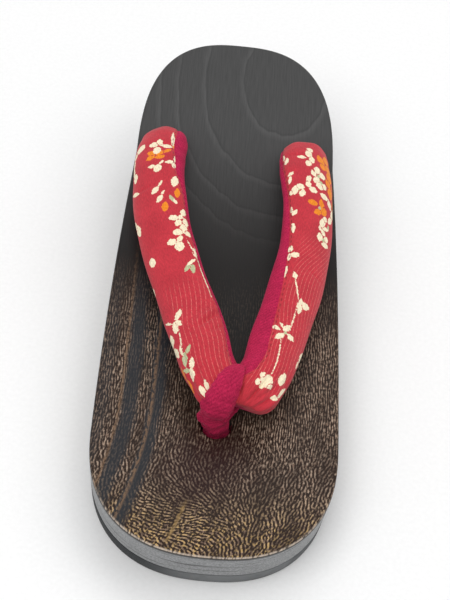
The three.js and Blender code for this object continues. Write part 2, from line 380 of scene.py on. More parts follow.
@dataclass
class DeckShape:
    """The plank's outline, top and underside, which the deck, the treads and the cloth all follow."""

    length: float = 235.0
    toe_half_width: float = 42.0
    toe_arc: float = 49.0
    toe_roundness: float = 2.4
    heel_half_width: float = 38.0
    heel_arc: float = 62.0
    heel_roundness: float = 2.7
    side_bulge: float = 1.1
    toe_top: float = 21.4
    heel_top: float = 38.4
    sag: float = 4.4
    skew: float = 19.3
    end_undercut: float = 4.3
    side_undercut: float = 0.9
    wood_bottom: float = 6.3
    front_block_end: float = -12.0
    heel_block_start: float = 71.0
    # the underside between the blocks: mm along and height
    crown: tuple = ((44.0, 18.62), (52.0, 19.88), (61.0, 19.88), (66.0, 17.38))
    front_hole: tuple[float, float, float] = (0.0, -64.5, 5.4)
    rear_hole: tuple[float, float, float] = (26.7, 59.0, 6.4)
    cloth_gap: float = 0.3

    def top(self, y: Array) -> Array:
        """Height of the top: a straight climb, less a parabola of sag, less a cubic that dips the front.

        Args:
            y: mm along the sandal.

        Returns:
            Heights in mm.
        """
        u = (y + self.length / 2) / self.length
        climb = self.toe_top + (self.heel_top - self.toe_top) * u
        return climb - 4 * self.sag * u * (1 - u) - self.skew * u * (1 - u) * (1 - 2 * u)

    def arch(self) -> Array:
        """List the underside's corners: the front block's end, the crown and the heel block's start.

        Returns:
            (n, 2) of mm along and height.
        """
        return np.array([(self.front_block_end, self.wood_bottom), *self.crown,
                         (self.heel_block_start, self.wood_bottom)])

    def underside(self, y: Array) -> Array:
        """Height of the wood's underside: straight between the arch's corners, and flat beyond them.

        Args:
            y: mm along the sandal.

        Returns:
            Heights in mm.
        """
        return np.interp(y, *self.arch().T)

    def side(self) -> Array:
        """Draw the right half of the outline, toe tip to heel tip.

        Each end is a quarter of a superellipse, across = w cos(a)^(2/r) and beyond = d sin(a)^(2/r), and
        the side between them is straight with a slight parabolic bulge.

        Returns:
            (n, 2) places, one of them at each corner of the arch and half way down its rear face.
        """
        a = np.linspace(np.pi / 2, 0, 61)
        toe_shoulder = -self.length / 2 + self.toe_arc
        heel_shoulder = self.length / 2 - self.heel_arc
        toe = np.stack([self.toe_half_width * np.cos(a) ** (2 / self.toe_roundness),
                        toe_shoulder - self.toe_arc * np.sin(a) ** (2 / self.toe_roundness)], -1)
        t = np.linspace(0, 1, 64)[1:-1]
        width = (self.toe_half_width + (self.heel_half_width - self.toe_half_width) * t
                 + 4 * self.side_bulge * t * (1 - t))
        middle = np.stack([width, toe_shoulder + (heel_shoulder - toe_shoulder) * t], -1)
        a = a[::-1]
        heel = np.stack([self.heel_half_width * np.cos(a) ** (2 / self.heel_roundness),
                         heel_shoulder + self.heel_arc * np.sin(a) ** (2 / self.heel_roundness)], -1)
        rough = np.vstack([toe, middle, heel])
        rough[[0, -1], 0] = 0.0
        corners = self.arch()[:, 0]
        breaks = [*corners, corners[-2:].mean()]
        y = np.unique(np.concatenate([rough[:, 1], breaks]))
        return np.stack([np.interp(y, rough[:, 1], rough[:, 0]), y], -1)

    def drawn_in(self, plan: Array, z: Array) -> Array:
        """Draw a plan in towards the floor: each way shrinks by its undercut times 1 - z / top.

        Args:
            plan: (..., 2) places at the top.
            z: their heights.

        Returns:
            (..., 2) places at those heights.
        """
        share = 1 - z / self.top(plan[..., 1])
        x = plan[..., 0] * (1 - self.side_undercut / self.toe_half_width * share)
        y = plan[..., 1] * (1 - self.end_undercut / (self.length / 2) * share)
        return np.stack([x, y], -1)

    def keep_clear(self, points: Array) -> Array:
        """Lift cloth that would enter the wood to just over its top, except over the three holes.

        Args:
            points: (..., 3) places.

        Returns:
            The same places, with the low ones lifted.
        """
        x, y, z = points[..., 0], points[..., 1], points[..., 2]
        fx, fy, fr = self.front_hole
        rx, ry, rr = self.rear_hole
        in_hole = np.hypot(x - fx, y - fy) < fr - self.cloth_gap
        in_hole |= np.hypot(np.abs(x) - rx, y - ry) < rr - self.cloth_gap
        floor = self.top(y) + self.cloth_gap
        lifted = points.copy()
        lifted[..., 2] = np.where(in_hole, z, np.maximum(z, floor))
        return lifted


@dataclass
class Deck:
    """The wooden deck with a rounded rim, an arch under the waist and three strap holes."""

    shape: DeckShape
    rim_radius: float = 1.1
    foot_radius: float = 0.5
    wall_levels: int = 9
    across: int = 36
    ring_centre: tuple[float, float] = (18.0, 100.0)
    ring_squeeze: float = 0.58
    grain_sweep: float = 7.6
    # height of the hole cutters and how many points are round them
    cutter_height: float = 60.0
    cutter_sides: int = 64

    def plan_normals(self, loop: Array) -> Array:
        """Outward plan directions of a closed loop: its tangent turned a quarter turn.

        Args:
            loop: (n, 2) places.

        Returns:
            (n, 2) unit directions.
        """
        tangent = np.roll(loop, -1, axis=0) - np.roll(loop, 1, axis=0)
        return unit(np.stack([tangent[:, 1], -tangent[:, 0]], -1))

    def build(self, top_finish, wall_finish):
        """Build the deck.

        The wall is rings of the outline from the underside to the rim, with a quarter-round of the rim's
        radius at the top. The top and the underside are rows across, from one side to the other.

        Args:
            top_finish: material of the top and rim.
            wall_finish: material of the wall and underside.

        Returns:
            The piece.
        """
        shape, side = self.shape, self.shape.side()
        n = len(side)
        loop = np.vstack([side, side[-2:0:-1] * [-1, 1]])
        normal = self.plan_normals(loop)
        low = shape.underside(loop[:, 1])
        low = shape.underside(shape.drawn_in(loop, low)[:, 1])
        high = shape.top(loop[:, 1])
        foot = np.linspace(0, np.pi / 2, 4)
        rim = np.linspace(0, np.pi / 2, 6)
        levels = [(self.foot_radius * (1 - np.sin(a)), low + self.foot_radius * (1 - np.cos(a)))
                  for a in foot]
        start, end = low + self.foot_radius, high - self.rim_radius
        levels += [(0.0, start + (end - start) * t) for t in np.linspace(0, 1, self.wall_levels)[1:]]
        rim_start = len(levels) - 1
        levels += [(self.rim_radius * (1 - np.cos(a)), high - self.rim_radius * (1 - np.sin(a)))
                   for a in rim[1:]]
        rings = []
        for inset, z in levels:
            plan = shape.drawn_in(loop, z) - normal * inset
            rings.append(np.column_stack([plan, z]))
        rings = np.array(rings)
        rings[-1][:, 2] = shape.top(rings[-1][:, 1])
        size = len(loop)
        quads, slots = [], []
        j = np.arange(size)
        k = (j + 1) % size
        for level in range(len(rings) - 1):
            quads.append(np.stack([level * size + j, level * size + k, (level + 1) * size + k,
                                   (level + 1) * size + j], -1))
            slots.append(np.full(size, 0 if level >= rim_start else 1))
        points = [rings.reshape(-1, 3)]
        count = rings.shape[0] * size
        triangles, triangle_slots = [], []
        for ring, z_of, slot, flip in ((len(rings) - 1, shape.top, 0, False), (0, shape.underside, 1, True)):
            edge = rings[ring]
            right, left = edge[1 : n - 1], edge[-1 : n - 1 : -1]
            share = np.linspace(0, 1, self.across + 1)[1:-1]
            inner = right[:, None] + (left - right)[:, None] * share[:, None]
            inner[..., 2] = z_of(inner[..., 1])
            points.append(inner.reshape(-1, 3))
            rows = np.arange(n - 2)
            table = np.column_stack([
                ring * size + 1 + rows,
                count + rows[:, None] * (self.across - 1) + np.arange(self.across - 1),
                ring * size + size - 1 - rows,
            ])
            count += inner.shape[0] * inner.shape[1]
            cells = np.stack([table[:-1, :-1], table[1:, :-1], table[1:, 1:], table[:-1, 1:]], -1)
            cells = cells.reshape(-1, 4)
            tips = np.concatenate([
                np.stack([np.full(self.across, ring * size), table[0, :-1], table[0, 1:]], -1),
                np.stack([np.full(self.across, ring * size + n - 1), table[-1, 1:], table[-1, :-1]], -1),
            ])
            quads.append(cells[:, ::-1] if flip else cells)
            slots.append(np.full(len(cells), slot))
            triangles.append(tips[:, ::-1] if flip else tips)
            triangle_slots.append(np.full(len(tips), slot))
        piece = mesh_piece("deck_wood", np.vstack(points), np.vstack(quads), np.vstack(triangles),
                           [top_finish, wall_finish], np.concatenate(slots),
                           np.concatenate(triangle_slots))
        self.drill(piece, wall_finish)
        self.mark_grain(piece.data)
        return piece

    def drill(self, piece, finish) -> None:
        """Cut the three strap holes with upright round cutters, and apply the cuts to the mesh.

        Args:
            piece: the deck.
            finish: material of the holes' walls.
        """
        fx, fy, fr = self.shape.front_hole
        rx, ry, rr = self.shape.rear_hole
        cutters = []
        for x, y, radius in ((fx, fy, fr), (rx, ry, rr), (-rx, ry, rr)):
            a = np.linspace(0, 2 * np.pi, self.cutter_sides, endpoint=False)
            ring = np.stack([x + radius * np.cos(a), y + radius * np.sin(a)], -1)
            heights = (0.0, self.cutter_height)
            body = np.vstack([np.column_stack([ring, np.full(self.cutter_sides, z)]) for z in heights]
                             + [np.array([[x, y, z] for z in heights])])
            quads, ends = tube_faces(2, self.cutter_sides, flip=True)
            cutter = mesh_piece("hole_cutter", body, quads, ends, [finish])
            cut = piece.modifiers.new("hole", "BOOLEAN")
            cut.operation, cut.solver, cut.object = "DIFFERENCE", "EXACT", cutter
            cutters.append(cutter)
        graph = bpy.context.evaluated_depsgraph_get()
        cut_mesh = bpy.data.meshes.new_from_object(piece.evaluated_get(graph))
        piece.modifiers.clear()
        piece.data = cut_mesh
        for cutter in cutters:
            bpy.data.objects.remove(cutter)

    def mark_grain(self, mesh) -> None:
        """Write where each point lies in the wood's figure.

        `grain` holds, in mm, the place across the grain (x, swept outwards towards the toe by the square of
        the way past y = -50), the place along it, and the radius of the cathedral rings, an ellipse's about
        the heel. `figure` holds the turn of the flecks, the depth under the top and the share of the heel's
        charcoal grey, which is painted reflection of the lacquer's sheen.

        Args:
            mesh: the deck's mesh.
        """
        x, y, z = mesh_points(mesh).T
        swept = x + self.grain_sweep * (np.maximum(0, -50 - y) / 52) ** 2
        cx, cy = self.ring_centre
        wander = 1.6 * np.sin(x / 17 + 0.6) + 1.3 * np.sin(y / 13)
        ring = np.hypot((x - cx) / self.ring_squeeze, y - cy) + wander
        write_attribute(mesh, "grain", np.stack([swept, y, ring], -1))
        turn = 1.6 * np.exp(-((x + 9) / 19) ** 2 - ((y + 103) / 15) ** 2)
        depth = self.shape.top(y) - z
        write_attribute(mesh, "figure", np.stack([turn, depth, smooth_step(-5, 75, y)], -1))


@dataclass
class Tread:
    """A rubber tread: the outline between two places along the sandal, with softened edges."""

    name: str
    shape: DeckShape
    start: float
    end: float
    thickness: float = 6.0
    edge: float = 0.5

    def build(self, finish):
        """Build the tread as rings of its outline, closed by a fan above and below.

        Args:
            finish: its material.

        Returns:
            The piece.
        """
        side = self.shape.side()
        pulled = 1 - self.shape.end_undercut / (self.shape.length / 2)
        side = side[(side[:, 1] * pulled > self.start - 1) & (side[:, 1] * pulled < self.end + 1)]
        loop = np.vstack([side, side[::-1] * [-1, 1]])
        loop = loop[np.hypot(*(loop - np.roll(loop, 1, axis=0)).T) > DOUBLED]
        a = np.linspace(0, np.pi / 2, 4)
        levels = [(self.edge * (1 - np.sin(t)), self.edge * (1 - np.cos(t))) for t in a]
        levels += [(i, self.thickness - z) for i, z in levels[::-1]]
        rings = []
        for inset, z in levels:
            plan = self.shape.drawn_in(loop, np.full(len(loop), z))
            x = plan[:, 0]
            plan[:, 0] = np.sign(x) * np.maximum(np.abs(x) - inset * (x != 0), 0)
            plan[:, 1] = np.clip(plan[:, 1], self.start + inset, self.end - inset)
            tip = np.sign(self.start + self.end) * (self.shape.length / 2 * pulled)
            squeeze = (abs(tip) - inset) / abs(tip)
            plan[:, 1] = np.where(np.abs(plan[:, 1]) > abs(tip) * 0.6, plan[:, 1] * squeeze, plan[:, 1])
            rings.append(np.column_stack([plan, np.full(len(loop), z)]))
        rings = np.array(rings)
        middles = rings[[0, -1]].mean(axis=1)
        quads, ends = tube_faces(len(rings), len(loop), flip=True)
        return mesh_piece(self.name, np.vstack([rings.reshape(-1, 3), middles]), quads, ends, [finish])


# ---------------------------------------------------------------- the cloth


def own_frame(mark, s: Array, u: Array) -> tuple[Array, Array]:
    """Turn places on the strap into a mark's own frame: less its middle, then turned back by its turn.

    Args:
        mark: the petal or crease.
        s: mm along the strap.
        u: mm round it.

    Returns:
        Millimetres along the mark and across it.
    """
    c, d = np.cos(np.radians(mark.turn)), np.sin(np.radians(mark.turn))
    x = (s - mark.along) * c + (u - mark.round) * d
    y = (u - mark.round) * c - (s - mark.along) * d
    return x, y


@dataclass(frozen=True)
class Petal:
    """A single petal, bud or leaf: a pointed oval of a length and width, turned from the strap's length."""

    along: float
    round: float
    length: float
    width: float
    turn: float = 0.0
    ink: Ink = Ink.CREAM

    @property
    def point(self) -> float:
        """The outline's power: 2 gives a round oval and 1 a diamond, and long petals come out pointed.

        Returns:
            The power.
        """
        return 1.45 if self.length > 1.5 * self.width else 1.8

    def distance(self, s: Array, u: Array) -> Array:
        """Signed distance to |x / a|^p + |y / b|^p = 1: with k the sum's pth root, k - 1 over k's slope.

        Args:
            s: mm along the strap.
            u: mm round it.

        Returns:
            Millimetres, below 0 inside.
        """
        x, y = own_frame(self, s, u)
        a, b, p = PETAL_SPREAD * self.length / 2, PETAL_SPREAD * self.width / 2, self.point
        x, y = np.maximum(np.abs(x / a), 1e-4), np.maximum(np.abs(y / b), 1e-4)
        k = (x**p + y**p) ** (1 / p)
        return (k - 1) * k ** (p - 1) / np.hypot(x ** (p - 1) / a, y ** (p - 1) / b)


@dataclass(frozen=True)
class Flow:
    """The thin parallel lines of the print: their spacing, slant and bend, and where they start and stop."""

    spacing: float
    slant: float
    bend: float
    bend_start: float
    start: float
    stop: float
    low: float
    high: float

    def coordinate(self, s: Array, u: Array) -> Array:
        """A number that is whole on each line: place round the strap, less slant and bend, over spacing.

        Args:
            s: mm along the strap.
            u: mm round it.

        Returns:
            The number at each place.
        """
        drift = self.slant * s + self.bend * (np.maximum(0, s - self.bend_start) / 20) ** 2
        wave = 0.5 * np.sin(s / 7.0) + 0.3 * np.sin(s / 3.1 + 1.0)
        return (u - drift - wave) / self.spacing

    def present(self, s: Array, u: Array) -> Array:
        """How present the lines are: eased in at their start and low edge and out at their stop and high.

        Args:
            s: mm along the strap.
            u: mm round it.

        Returns:
            1 where they are printed, easing to 0 outside.
        """
        along = smooth_step(self.start, self.start + 4, s)
        along = along * (1 - smooth_step(self.stop - 10, self.stop, s))
        return along * smooth_step(self.low, self.low + 2, u) * (1 - smooth_step(self.high - 2, self.high, u))


@dataclass(frozen=True)
class Crease:
    """A soft trough in the cloth, or a ridge when its height is above 0: place, size, turn and height."""

    along: float
    round: float
    length: float
    width: float
    turn: float
    height: float

    def rise(self, s: Array, u: Array) -> Array:
        """Millimetres that it lifts the cloth: its height times a Gaussian of the place in its own frame.

        Args:
            s: mm along the strap.
            u: mm round it.

        Returns:
            The lift in mm.
        """
        x, y = own_frame(self, s, u)
        return self.height * np.exp(-((2 * x / self.length) ** 2) - (2 * y / self.width) ** 2)


@dataclass
class StrapArm:
    """One padded arm of the strap: printed cloth over the top, velvet lining under the inner edge."""

    shape: DeckShape
    side: Side
    motifs: list
    flow: Flow
    lining_edge: tuple
    creases: tuple
    # how far the front end is drawn across and forward against the loop, in mm
    gather: tuple[float, float] = (0.0, 0.0)
    rows: int = 420
    print_columns: int = 100
    lining_columns: int = 40
    nominal: tuple[float, float] = (9.8, 5.5)
    # where the under seam lies, in degrees of the section
    under_edge: float = -45.0
    # how many rows the path is read at, and how finely the section's angles are tabled
    path_rows: int = 2000
    angle_steps: int = 2881
    # along, out from the V's midline, that midline's lean, lift over the deck, half width, half
    # thickness, and the degrees that the outer edge hangs down
    sections: tuple = (
        (-63.6, 3.4, 5.8, 11.6, 3.0, 2.4, 0), (-62.3, 4.4, 5.8, 12.0, 6.2, 4.3, 2),
        (-59.4, 5.8, 5.7, 12.5, 8.1, 5.4, 4), (-54.0, 8.1, 5.5, 12.9, 8.7, 5.8, 7),
        (-48.0, 10.6, 5.3, 12.9, 9.2, 5.9, 10), (-38.0, 13.2, 4.9, 12.4, 9.7, 5.8, 13),
        (-24.0, 17.4, 4.1, 11.5, 9.8, 5.6, 16), (-8.0, 22.0, 3.0, 10.6, 9.8, 5.4, 18),
        (8.0, 25.6, 1.8, 9.7, 9.8, 5.3, 18), (24.0, 27.5, 0.5, 8.8, 9.8, 5.3, 17),
        (38.0, 27.8, -0.5, 7.6, 9.8, 5.4, 14), (48.0, 27.4, -0.9, 5.8, 9.6, 5.7, 10),
        (55.0, 27.0, -0.6, 3.6, 9.2, 5.9, 6), (60.0, 26.8, -0.3, 1.3, 8.2, 5.4, 2),
        (63.8, 26.7, 0.0, -0.8, 5.6, 3.6, 0), (65.6, 26.7, 0.0, -2.0, 2.6, 1.6, 0),
    )

    def round_of(self, degrees: Array) -> Array:
        """Millimetres round the nominal section from the crown: the running sum of the ellipse's steps.

        Args:
            degrees: section angles.

        Returns:
            Millimetres, growing towards the V's inside.
        """
        wide, thick = self.nominal
        a = np.radians(np.linspace(-180, 540, self.angle_steps))
        steps = np.hypot(wide * np.sin(a), thick * np.cos(a)) * (a[1] - a[0])
        length = np.cumsum(steps)
        length -= np.interp(np.pi / 2, a, length)
        return np.interp(np.radians(degrees), a, length)

    def degrees_of(self, around: Array) -> Array:
        """The section angle at a number of millimetres round from the crown, read from round_of.

        Args:
            around: millimetres round.

        Returns:
            Degrees.
        """
        table = np.linspace(-180, 540, self.angle_steps)
        return np.interp(around, self.round_of(table), table)

    def layout(self) -> tuple[Array, Array, Array, Array]:
        """Lay out the rings.

        Rings are evenly spaced along the strap. Round it, the columns run evenly over the print from its
        under edge to the lining's edge, and then evenly over the lining, so both seams lie on a column.

        Returns:
            Share down the rows, mm along, mm round and section angle of each point.
        """
        shares = np.linspace(0, 1, self.path_rows)
        length = run_length(self.middle_line(smooth_rows(np.array(self.sections), shares)))
        s = np.linspace(0, length[-1], self.rows)
        share = np.interp(s, length, shares)
        low, high = self.round_of(np.full(self.rows, self.under_edge)), self.lining_at(s)
        whole = self.round_of(np.full(self.rows, self.under_edge + 360.0))
        p = np.arange(self.print_columns) / self.print_columns
        q = np.arange(self.lining_columns) / self.lining_columns
        around = np.hstack([low[:, None] + (high - low)[:, None] * p,
                            high[:, None] + (whole - high)[:, None] * q])
        return share, np.broadcast_to(s[:, None], around.shape), around, self.degrees_of(around)

    def lining_at(self, s: Array) -> Array:
        """Millimetres round from the crown at which the lining starts, straight between charted places.

        Args:
            s: mm along the strap.

        Returns:
            Millimetres round.
        """
        return np.interp(s, *np.array(self.lining_edge).T)

    def middle_line(self, rows: Array) -> Array:
        """The strap's middle: the V's lean plus the way out, and the deck's top plus the lift.

        Args:
            rows: (n, 7) sections.

        Returns:
            (n, 3) places.
        """
        along, out, lean, lift = rows[:, :4].T
        return np.stack([lean + self.side.value * out, along, self.shape.top(along) + lift], -1)

    def skin(self, share: Array, degrees: Array) -> Array:
        """The plain skin: at each place an ellipse square to the path, tilted so its outer edge hangs.

        Args:
            share: (rows,) shares down the sections.
            degrees: (rows, columns) section angles.

        Returns:
            (rows, columns, 3) places.
        """
        rows = smooth_rows(np.array(self.sections), share)
        middle = self.middle_line(rows)
        wide, thick, tilt = rows[:, 4], rows[:, 5], np.radians(rows[:, 6])
        wide_way, up_way = section_ways(middle, np.array([float(self.side.value), 0.0, 0.0]))
        up_way = self.side.value * up_way
        a = np.radians(degrees)
        across, through = np.cos(a) * wide[:, None], np.sin(a) * thick[:, None]
        c, d = np.cos(tilt)[:, None], np.sin(tilt)[:, None]
        return (middle[:, None] + wide_way[:, None] * (across * c + through * d)[..., None]
                + up_way[:, None] * (through * c - across * d)[..., None])

    def relief(self, s: Array, u: Array, degrees: Array) -> Array:
        """How far the cloth stands from the plain skin, in mm.

        Soft padding swells and dips in long waves. Seams pull in as narrow troughs, puckered by their
        stitches. Pleats fan from the front loop and fold again at the rear hole, fading with distance.

        Args:
            s: mm along the strap.
            u: mm round it.
            degrees: section angles.

        Returns:
            Millimetres out from the skin.
        """
        a = np.radians(degrees)
        length = s.max()
        sign = self.side.value
        # swells 57 mm and 27 mm from crest to crest
        swell = 0.16 * np.sin(s / 9.0 + 1.7 * sign + 0.8 * np.sin(a))
        swell = swell + 0.12 * np.sin(s / 4.3 + 2 * a + sign)
        edge = self.lining_at(s)
        low = self.round_of(np.array([self.under_edge]))[0]
        # seams 0.55 mm deep, puckered every 3 mm, with the padding standing up on both sides of the lining's
        pucker = 0.75 + 0.25 * np.cos(2 * np.pi * s / 3.0)
        seam = -0.55 * pucker * (bell(u, edge, 0.55) + bell(u, low, 0.55))
        shoulder = 0.12 * bell(u - edge, 1.8, 1.3) + 0.10 * bell(u - edge, -1.8, 1.3)
        # pleats at the loop about 5 mm apart, then about 3 mm apart
        pleats = 0.5 * bell(s, 3, 7.0) * np.sin(u * 1.25 + 0.5 * np.sin(s / 3.0) + sign * 0.9)
        pleats += 0.2 * bell(s, 12, 7.0) * np.sin(u * 1.9 - s * 0.25)
        pleats += sum(crease.rise(s, u) for crease in self.creases)
        rear_fade = bell(length - s, 5, 7.0)
        folds = 0.16 * rear_fade * np.sin(a * 6 + 1.3 * sign) + 0.12 * rear_fade * np.sin(s * 1.1 + a)
        # the hollow and the ridge where the arm turns down to its rear hole
        bend = -0.28 * bell(s, length - 19, 2.2) * bell(u, 7, 6.0)
        bend += 0.2 * bell(s, length - 24, 2.4) * bell(u, 7, 6.0)
        return swell + seam + shoulder + pleats + folds + bend

    def build(self, name: str, print_finish, lining_finish):
        """Build the arm with its print and lining.

        Args:
            name: the piece's name.
            print_finish: material of the printed cloth.
            lining_finish: material of the velvet lining.

        Returns:
            The piece.
        """
        share, s, u, degrees = self.layout()
        sign = float(self.side.value)
        grid = self.skin(share, degrees)
        drawn = bell(s, 0.0, 8.0) * (1 - np.cos(np.radians(degrees))) / 2
        grid = grid - drawn[..., None] * np.array([*self.gather, 0.0])
        ease = smooth_step(0, 2.5, s) * (1 - smooth_step(s.max() - 2.0, s.max(), s))
        grid = grid + grid_normals(grid, sign) * (self.relief(s, u, degrees) * ease)[..., None]
        grid = self.shape.keep_clear(grid)
        rows, columns = u.shape
        quads, ends = tube_faces(rows, columns, flip=self.side is Side.LOW_X)
        lined = (np.arange(columns) >= self.print_columns).astype(int)
        piece = mesh_piece(name, capped(grid), quads, ends, [print_finish, lining_finish],
                           np.tile(lined, rows - 1), np.tile(lined, 2))
        self.mark_print(piece.data, s, u)
        return piece

    def mark_print(self, mesh, s: Array, u: Array) -> None:
        """Write the print at each point.

        `ink` holds the signed distance in mm to the nearest shape of each colour, `flow` the line
        coordinate, where lines are present, and the distance from the lining's seam, and `cloth` the mm
        round, along and through, which the weave follows. A gap of bare cloth is kept between petals, where
        the nearest and the next nearest are as far as each other.

        Args:
            mesh: the arm's mesh.
            s: mm along the strap at each point.
            u: mm round it.
        """
        ink = np.full((len(Ink), *s.shape), NO_INK)
        second = ink.copy()
        for motif in self.motifs:
            distance, row = motif.distance(s, u), motif.ink.value
            second[row] = np.minimum(second[row], np.maximum(ink[row], distance))
            ink[row] = np.minimum(ink[row], distance)
        ink = np.maximum(ink, PETAL_GAP / 2 - (second - ink) / 2)
        edge = self.lining_at(s)
        flow = np.stack([self.flow.coordinate(s, u), self.flow.present(s, u), edge - u])
        cloth = np.stack([u, s, np.zeros_like(s)])
        for name, values in (("ink", ink), ("flow", flow), ("cloth", cloth)):
            flat = values.reshape(3, -1).T
            write_attribute(mesh, name, np.vstack([flat, flat[0], flat[-1]]))


@dataclass
class RearCord:
    """The pleated end of an arm, pulled down through its rear hole."""

    shape: DeckShape
    side: Side
    radius: float = 5.6
    below: float = 10.0
    above: float = 3.0
    pleats: int = 9
    rows: int = 30
    columns: int = 72

    def build(self, name: str, finish):
        """Build the cord: a round tube whose radius rises and falls by 4% over nine pleats.

        Args:
            name: the piece's name.
            finish: its material.

        Returns:
            The piece.
        """
        x, y, _ = self.shape.rear_hole
        turns = np.linspace(0, 2 * np.pi, self.columns, endpoint=False)
        t, a = np.meshgrid(np.linspace(0, 1, self.rows), turns, indexing="ij")
        radius = self.radius * (0.96 + 0.04 * np.sin(self.pleats * a + 2 * t)) * (1 - 0.25 * t**6)
        height = self.shape.top(np.array(y)) - self.below + (self.below + self.above) * t
        grid = np.stack([self.side.value * x + radius * np.cos(a), y + radius * np.sin(a), height], -1)
        points = capped(grid)
        piece = mesh_piece(name, points, *tube_faces(self.rows, self.columns, flip=True), [finish])
        flow = np.tile([0.0, 0.0, NO_INK], (len(points), 1))
        for kind, values in (("ink", np.full((len(points), 3), NO_INK)), ("flow", flow),
                             ("cloth", points[:, [0, 2, 1]])):
            write_attribute(piece.data, kind, values)
        return piece


@dataclass
class FrontLoop:
    """The velvet band that comes up out of the front hole, over the strap's joint and back under it."""

    shape: DeckShape
    # across, along, lift over the deck, half width and half thickness
    rise: tuple = (
        (0.0, -63.9, -12.0, 4.5, 2.7), (0.0, -63.9, -2.0, 4.5, 2.6), (-1.2, -63.9, 4.4, 4.8, 2.6),
        (-0.7, -65.3, 9.4, 5.6, 2.9), (0.8, -63.7, 15.0, 5.2, 2.9), (2.9, -59.2, 18.2, 4.2, 2.6),
        (4.9, -54.0, 17.4, 2.8, 2.1), (5.7, -51.2, 13.0, 2.3, 1.9), (6.0, -51.6, 9.4, 2.6, 2.0),
        (6.2, -52.2, 7.4, 2.2, 1.5),
    )
    back: tuple = (
        (6.4, -51.2, 11.0, 2.6, 1.9), (6.3, -52.0, 8.0, 3.2, 2.3), (5.0, -55.6, 5.2, 3.8, 2.3),
        (2.2, -60.4, 4.6, 4.2, 2.2), (-0.6, -64.0, 4.4, 4.3, 2.0),
    )
    columns: int = 64

    def stretch(self, table: tuple, count: int, knob: bool) -> tuple[Array, Array]:
        """Shape one stretch of the band.

        Rings are flat ellipses square to the path. The band is drawn in where it folds, swells to a knob
        over the hole, and carries two long folds and fine cross wrinkles.

        Args:
            table: its sections.
            count: how many rings.
            knob: whether it has the knob over the hole.

        Returns:
            The grid of points, and the mm along and round of each.
        """
        t = np.linspace(0, 1, count)
        rows = smooth_rows(np.array(table), t)
        x, along, lift, wide, thick = rows.T
        middle = np.stack([x, along, self.shape.top(along) + lift], -1)
        if knob:
            swell, waist = bell(lift, 3.4, 2.2) * (t < 0.5), bell(lift, 7.4, 2.0) * (t < 0.5)
            wide = wide + 0.7 * swell - 0.9 * waist
            thick = thick + 0.5 * swell - 0.5 * waist
        wide_way, thick_way = section_ways(middle, np.array([1.0, 0.0, 0.0]))
        a = np.linspace(0, 2 * np.pi, self.columns, endpoint=False)[None, :]
        length = run_length(middle)[:, None]
        folds = 0.34 * np.cos(3 * a + length / 9) + 0.22 * np.cos(5 * a - length / 5)
        wrinkles = 0.13 * np.sin(length * 1.7 + 2 * np.sin(a)) + 0.08 * np.sin(length * 3.7 + 3 * a)
        grow = 1 + (folds + wrinkles) / 5.0
        grid = (middle[:, None] + wide_way[:, None] * (np.cos(a) * wide[:, None] * grow)[..., None]
                + thick_way[:, None] * (np.sin(a) * (thick[:, None] + folds + wrinkles))[..., None])
        place = np.stack([np.broadcast_to(5 * a, grid.shape[:2]), np.broadcast_to(length, grid.shape[:2]),
                          np.zeros(grid.shape[:2])], -1)
        return self.shape.keep_clear(grid), place

    def build(self, finish):
        """Build the band of two overlapping closed stretches.

        Args:
            finish: its material.

        Returns:
            The piece.
        """
        points, quads, ends, places, first = [], [], [], [], 0
        for table, count, knob in ((self.rise, 150, True), (self.back, 60, False)):
            grid, place = self.stretch(table, count, knob)
            rows, columns = grid.shape[:2]
            points.append(capped(grid))
            places += [place.reshape(-1, 3), place[0, :1], place[-1, :1]]
            between, closing = tube_faces(rows, columns, flip=False)
            quads.append(between + first)
            ends.append(closing + first)
            first += rows * columns + 2
        piece = mesh_piece("front_loop_velvet", np.vstack(points), np.vstack(quads), np.vstack(ends),
                           [finish])
        write_attribute(piece.data, "cloth", np.vstack(places))
        return piece


# ---------------------------------------------------------------- finishes


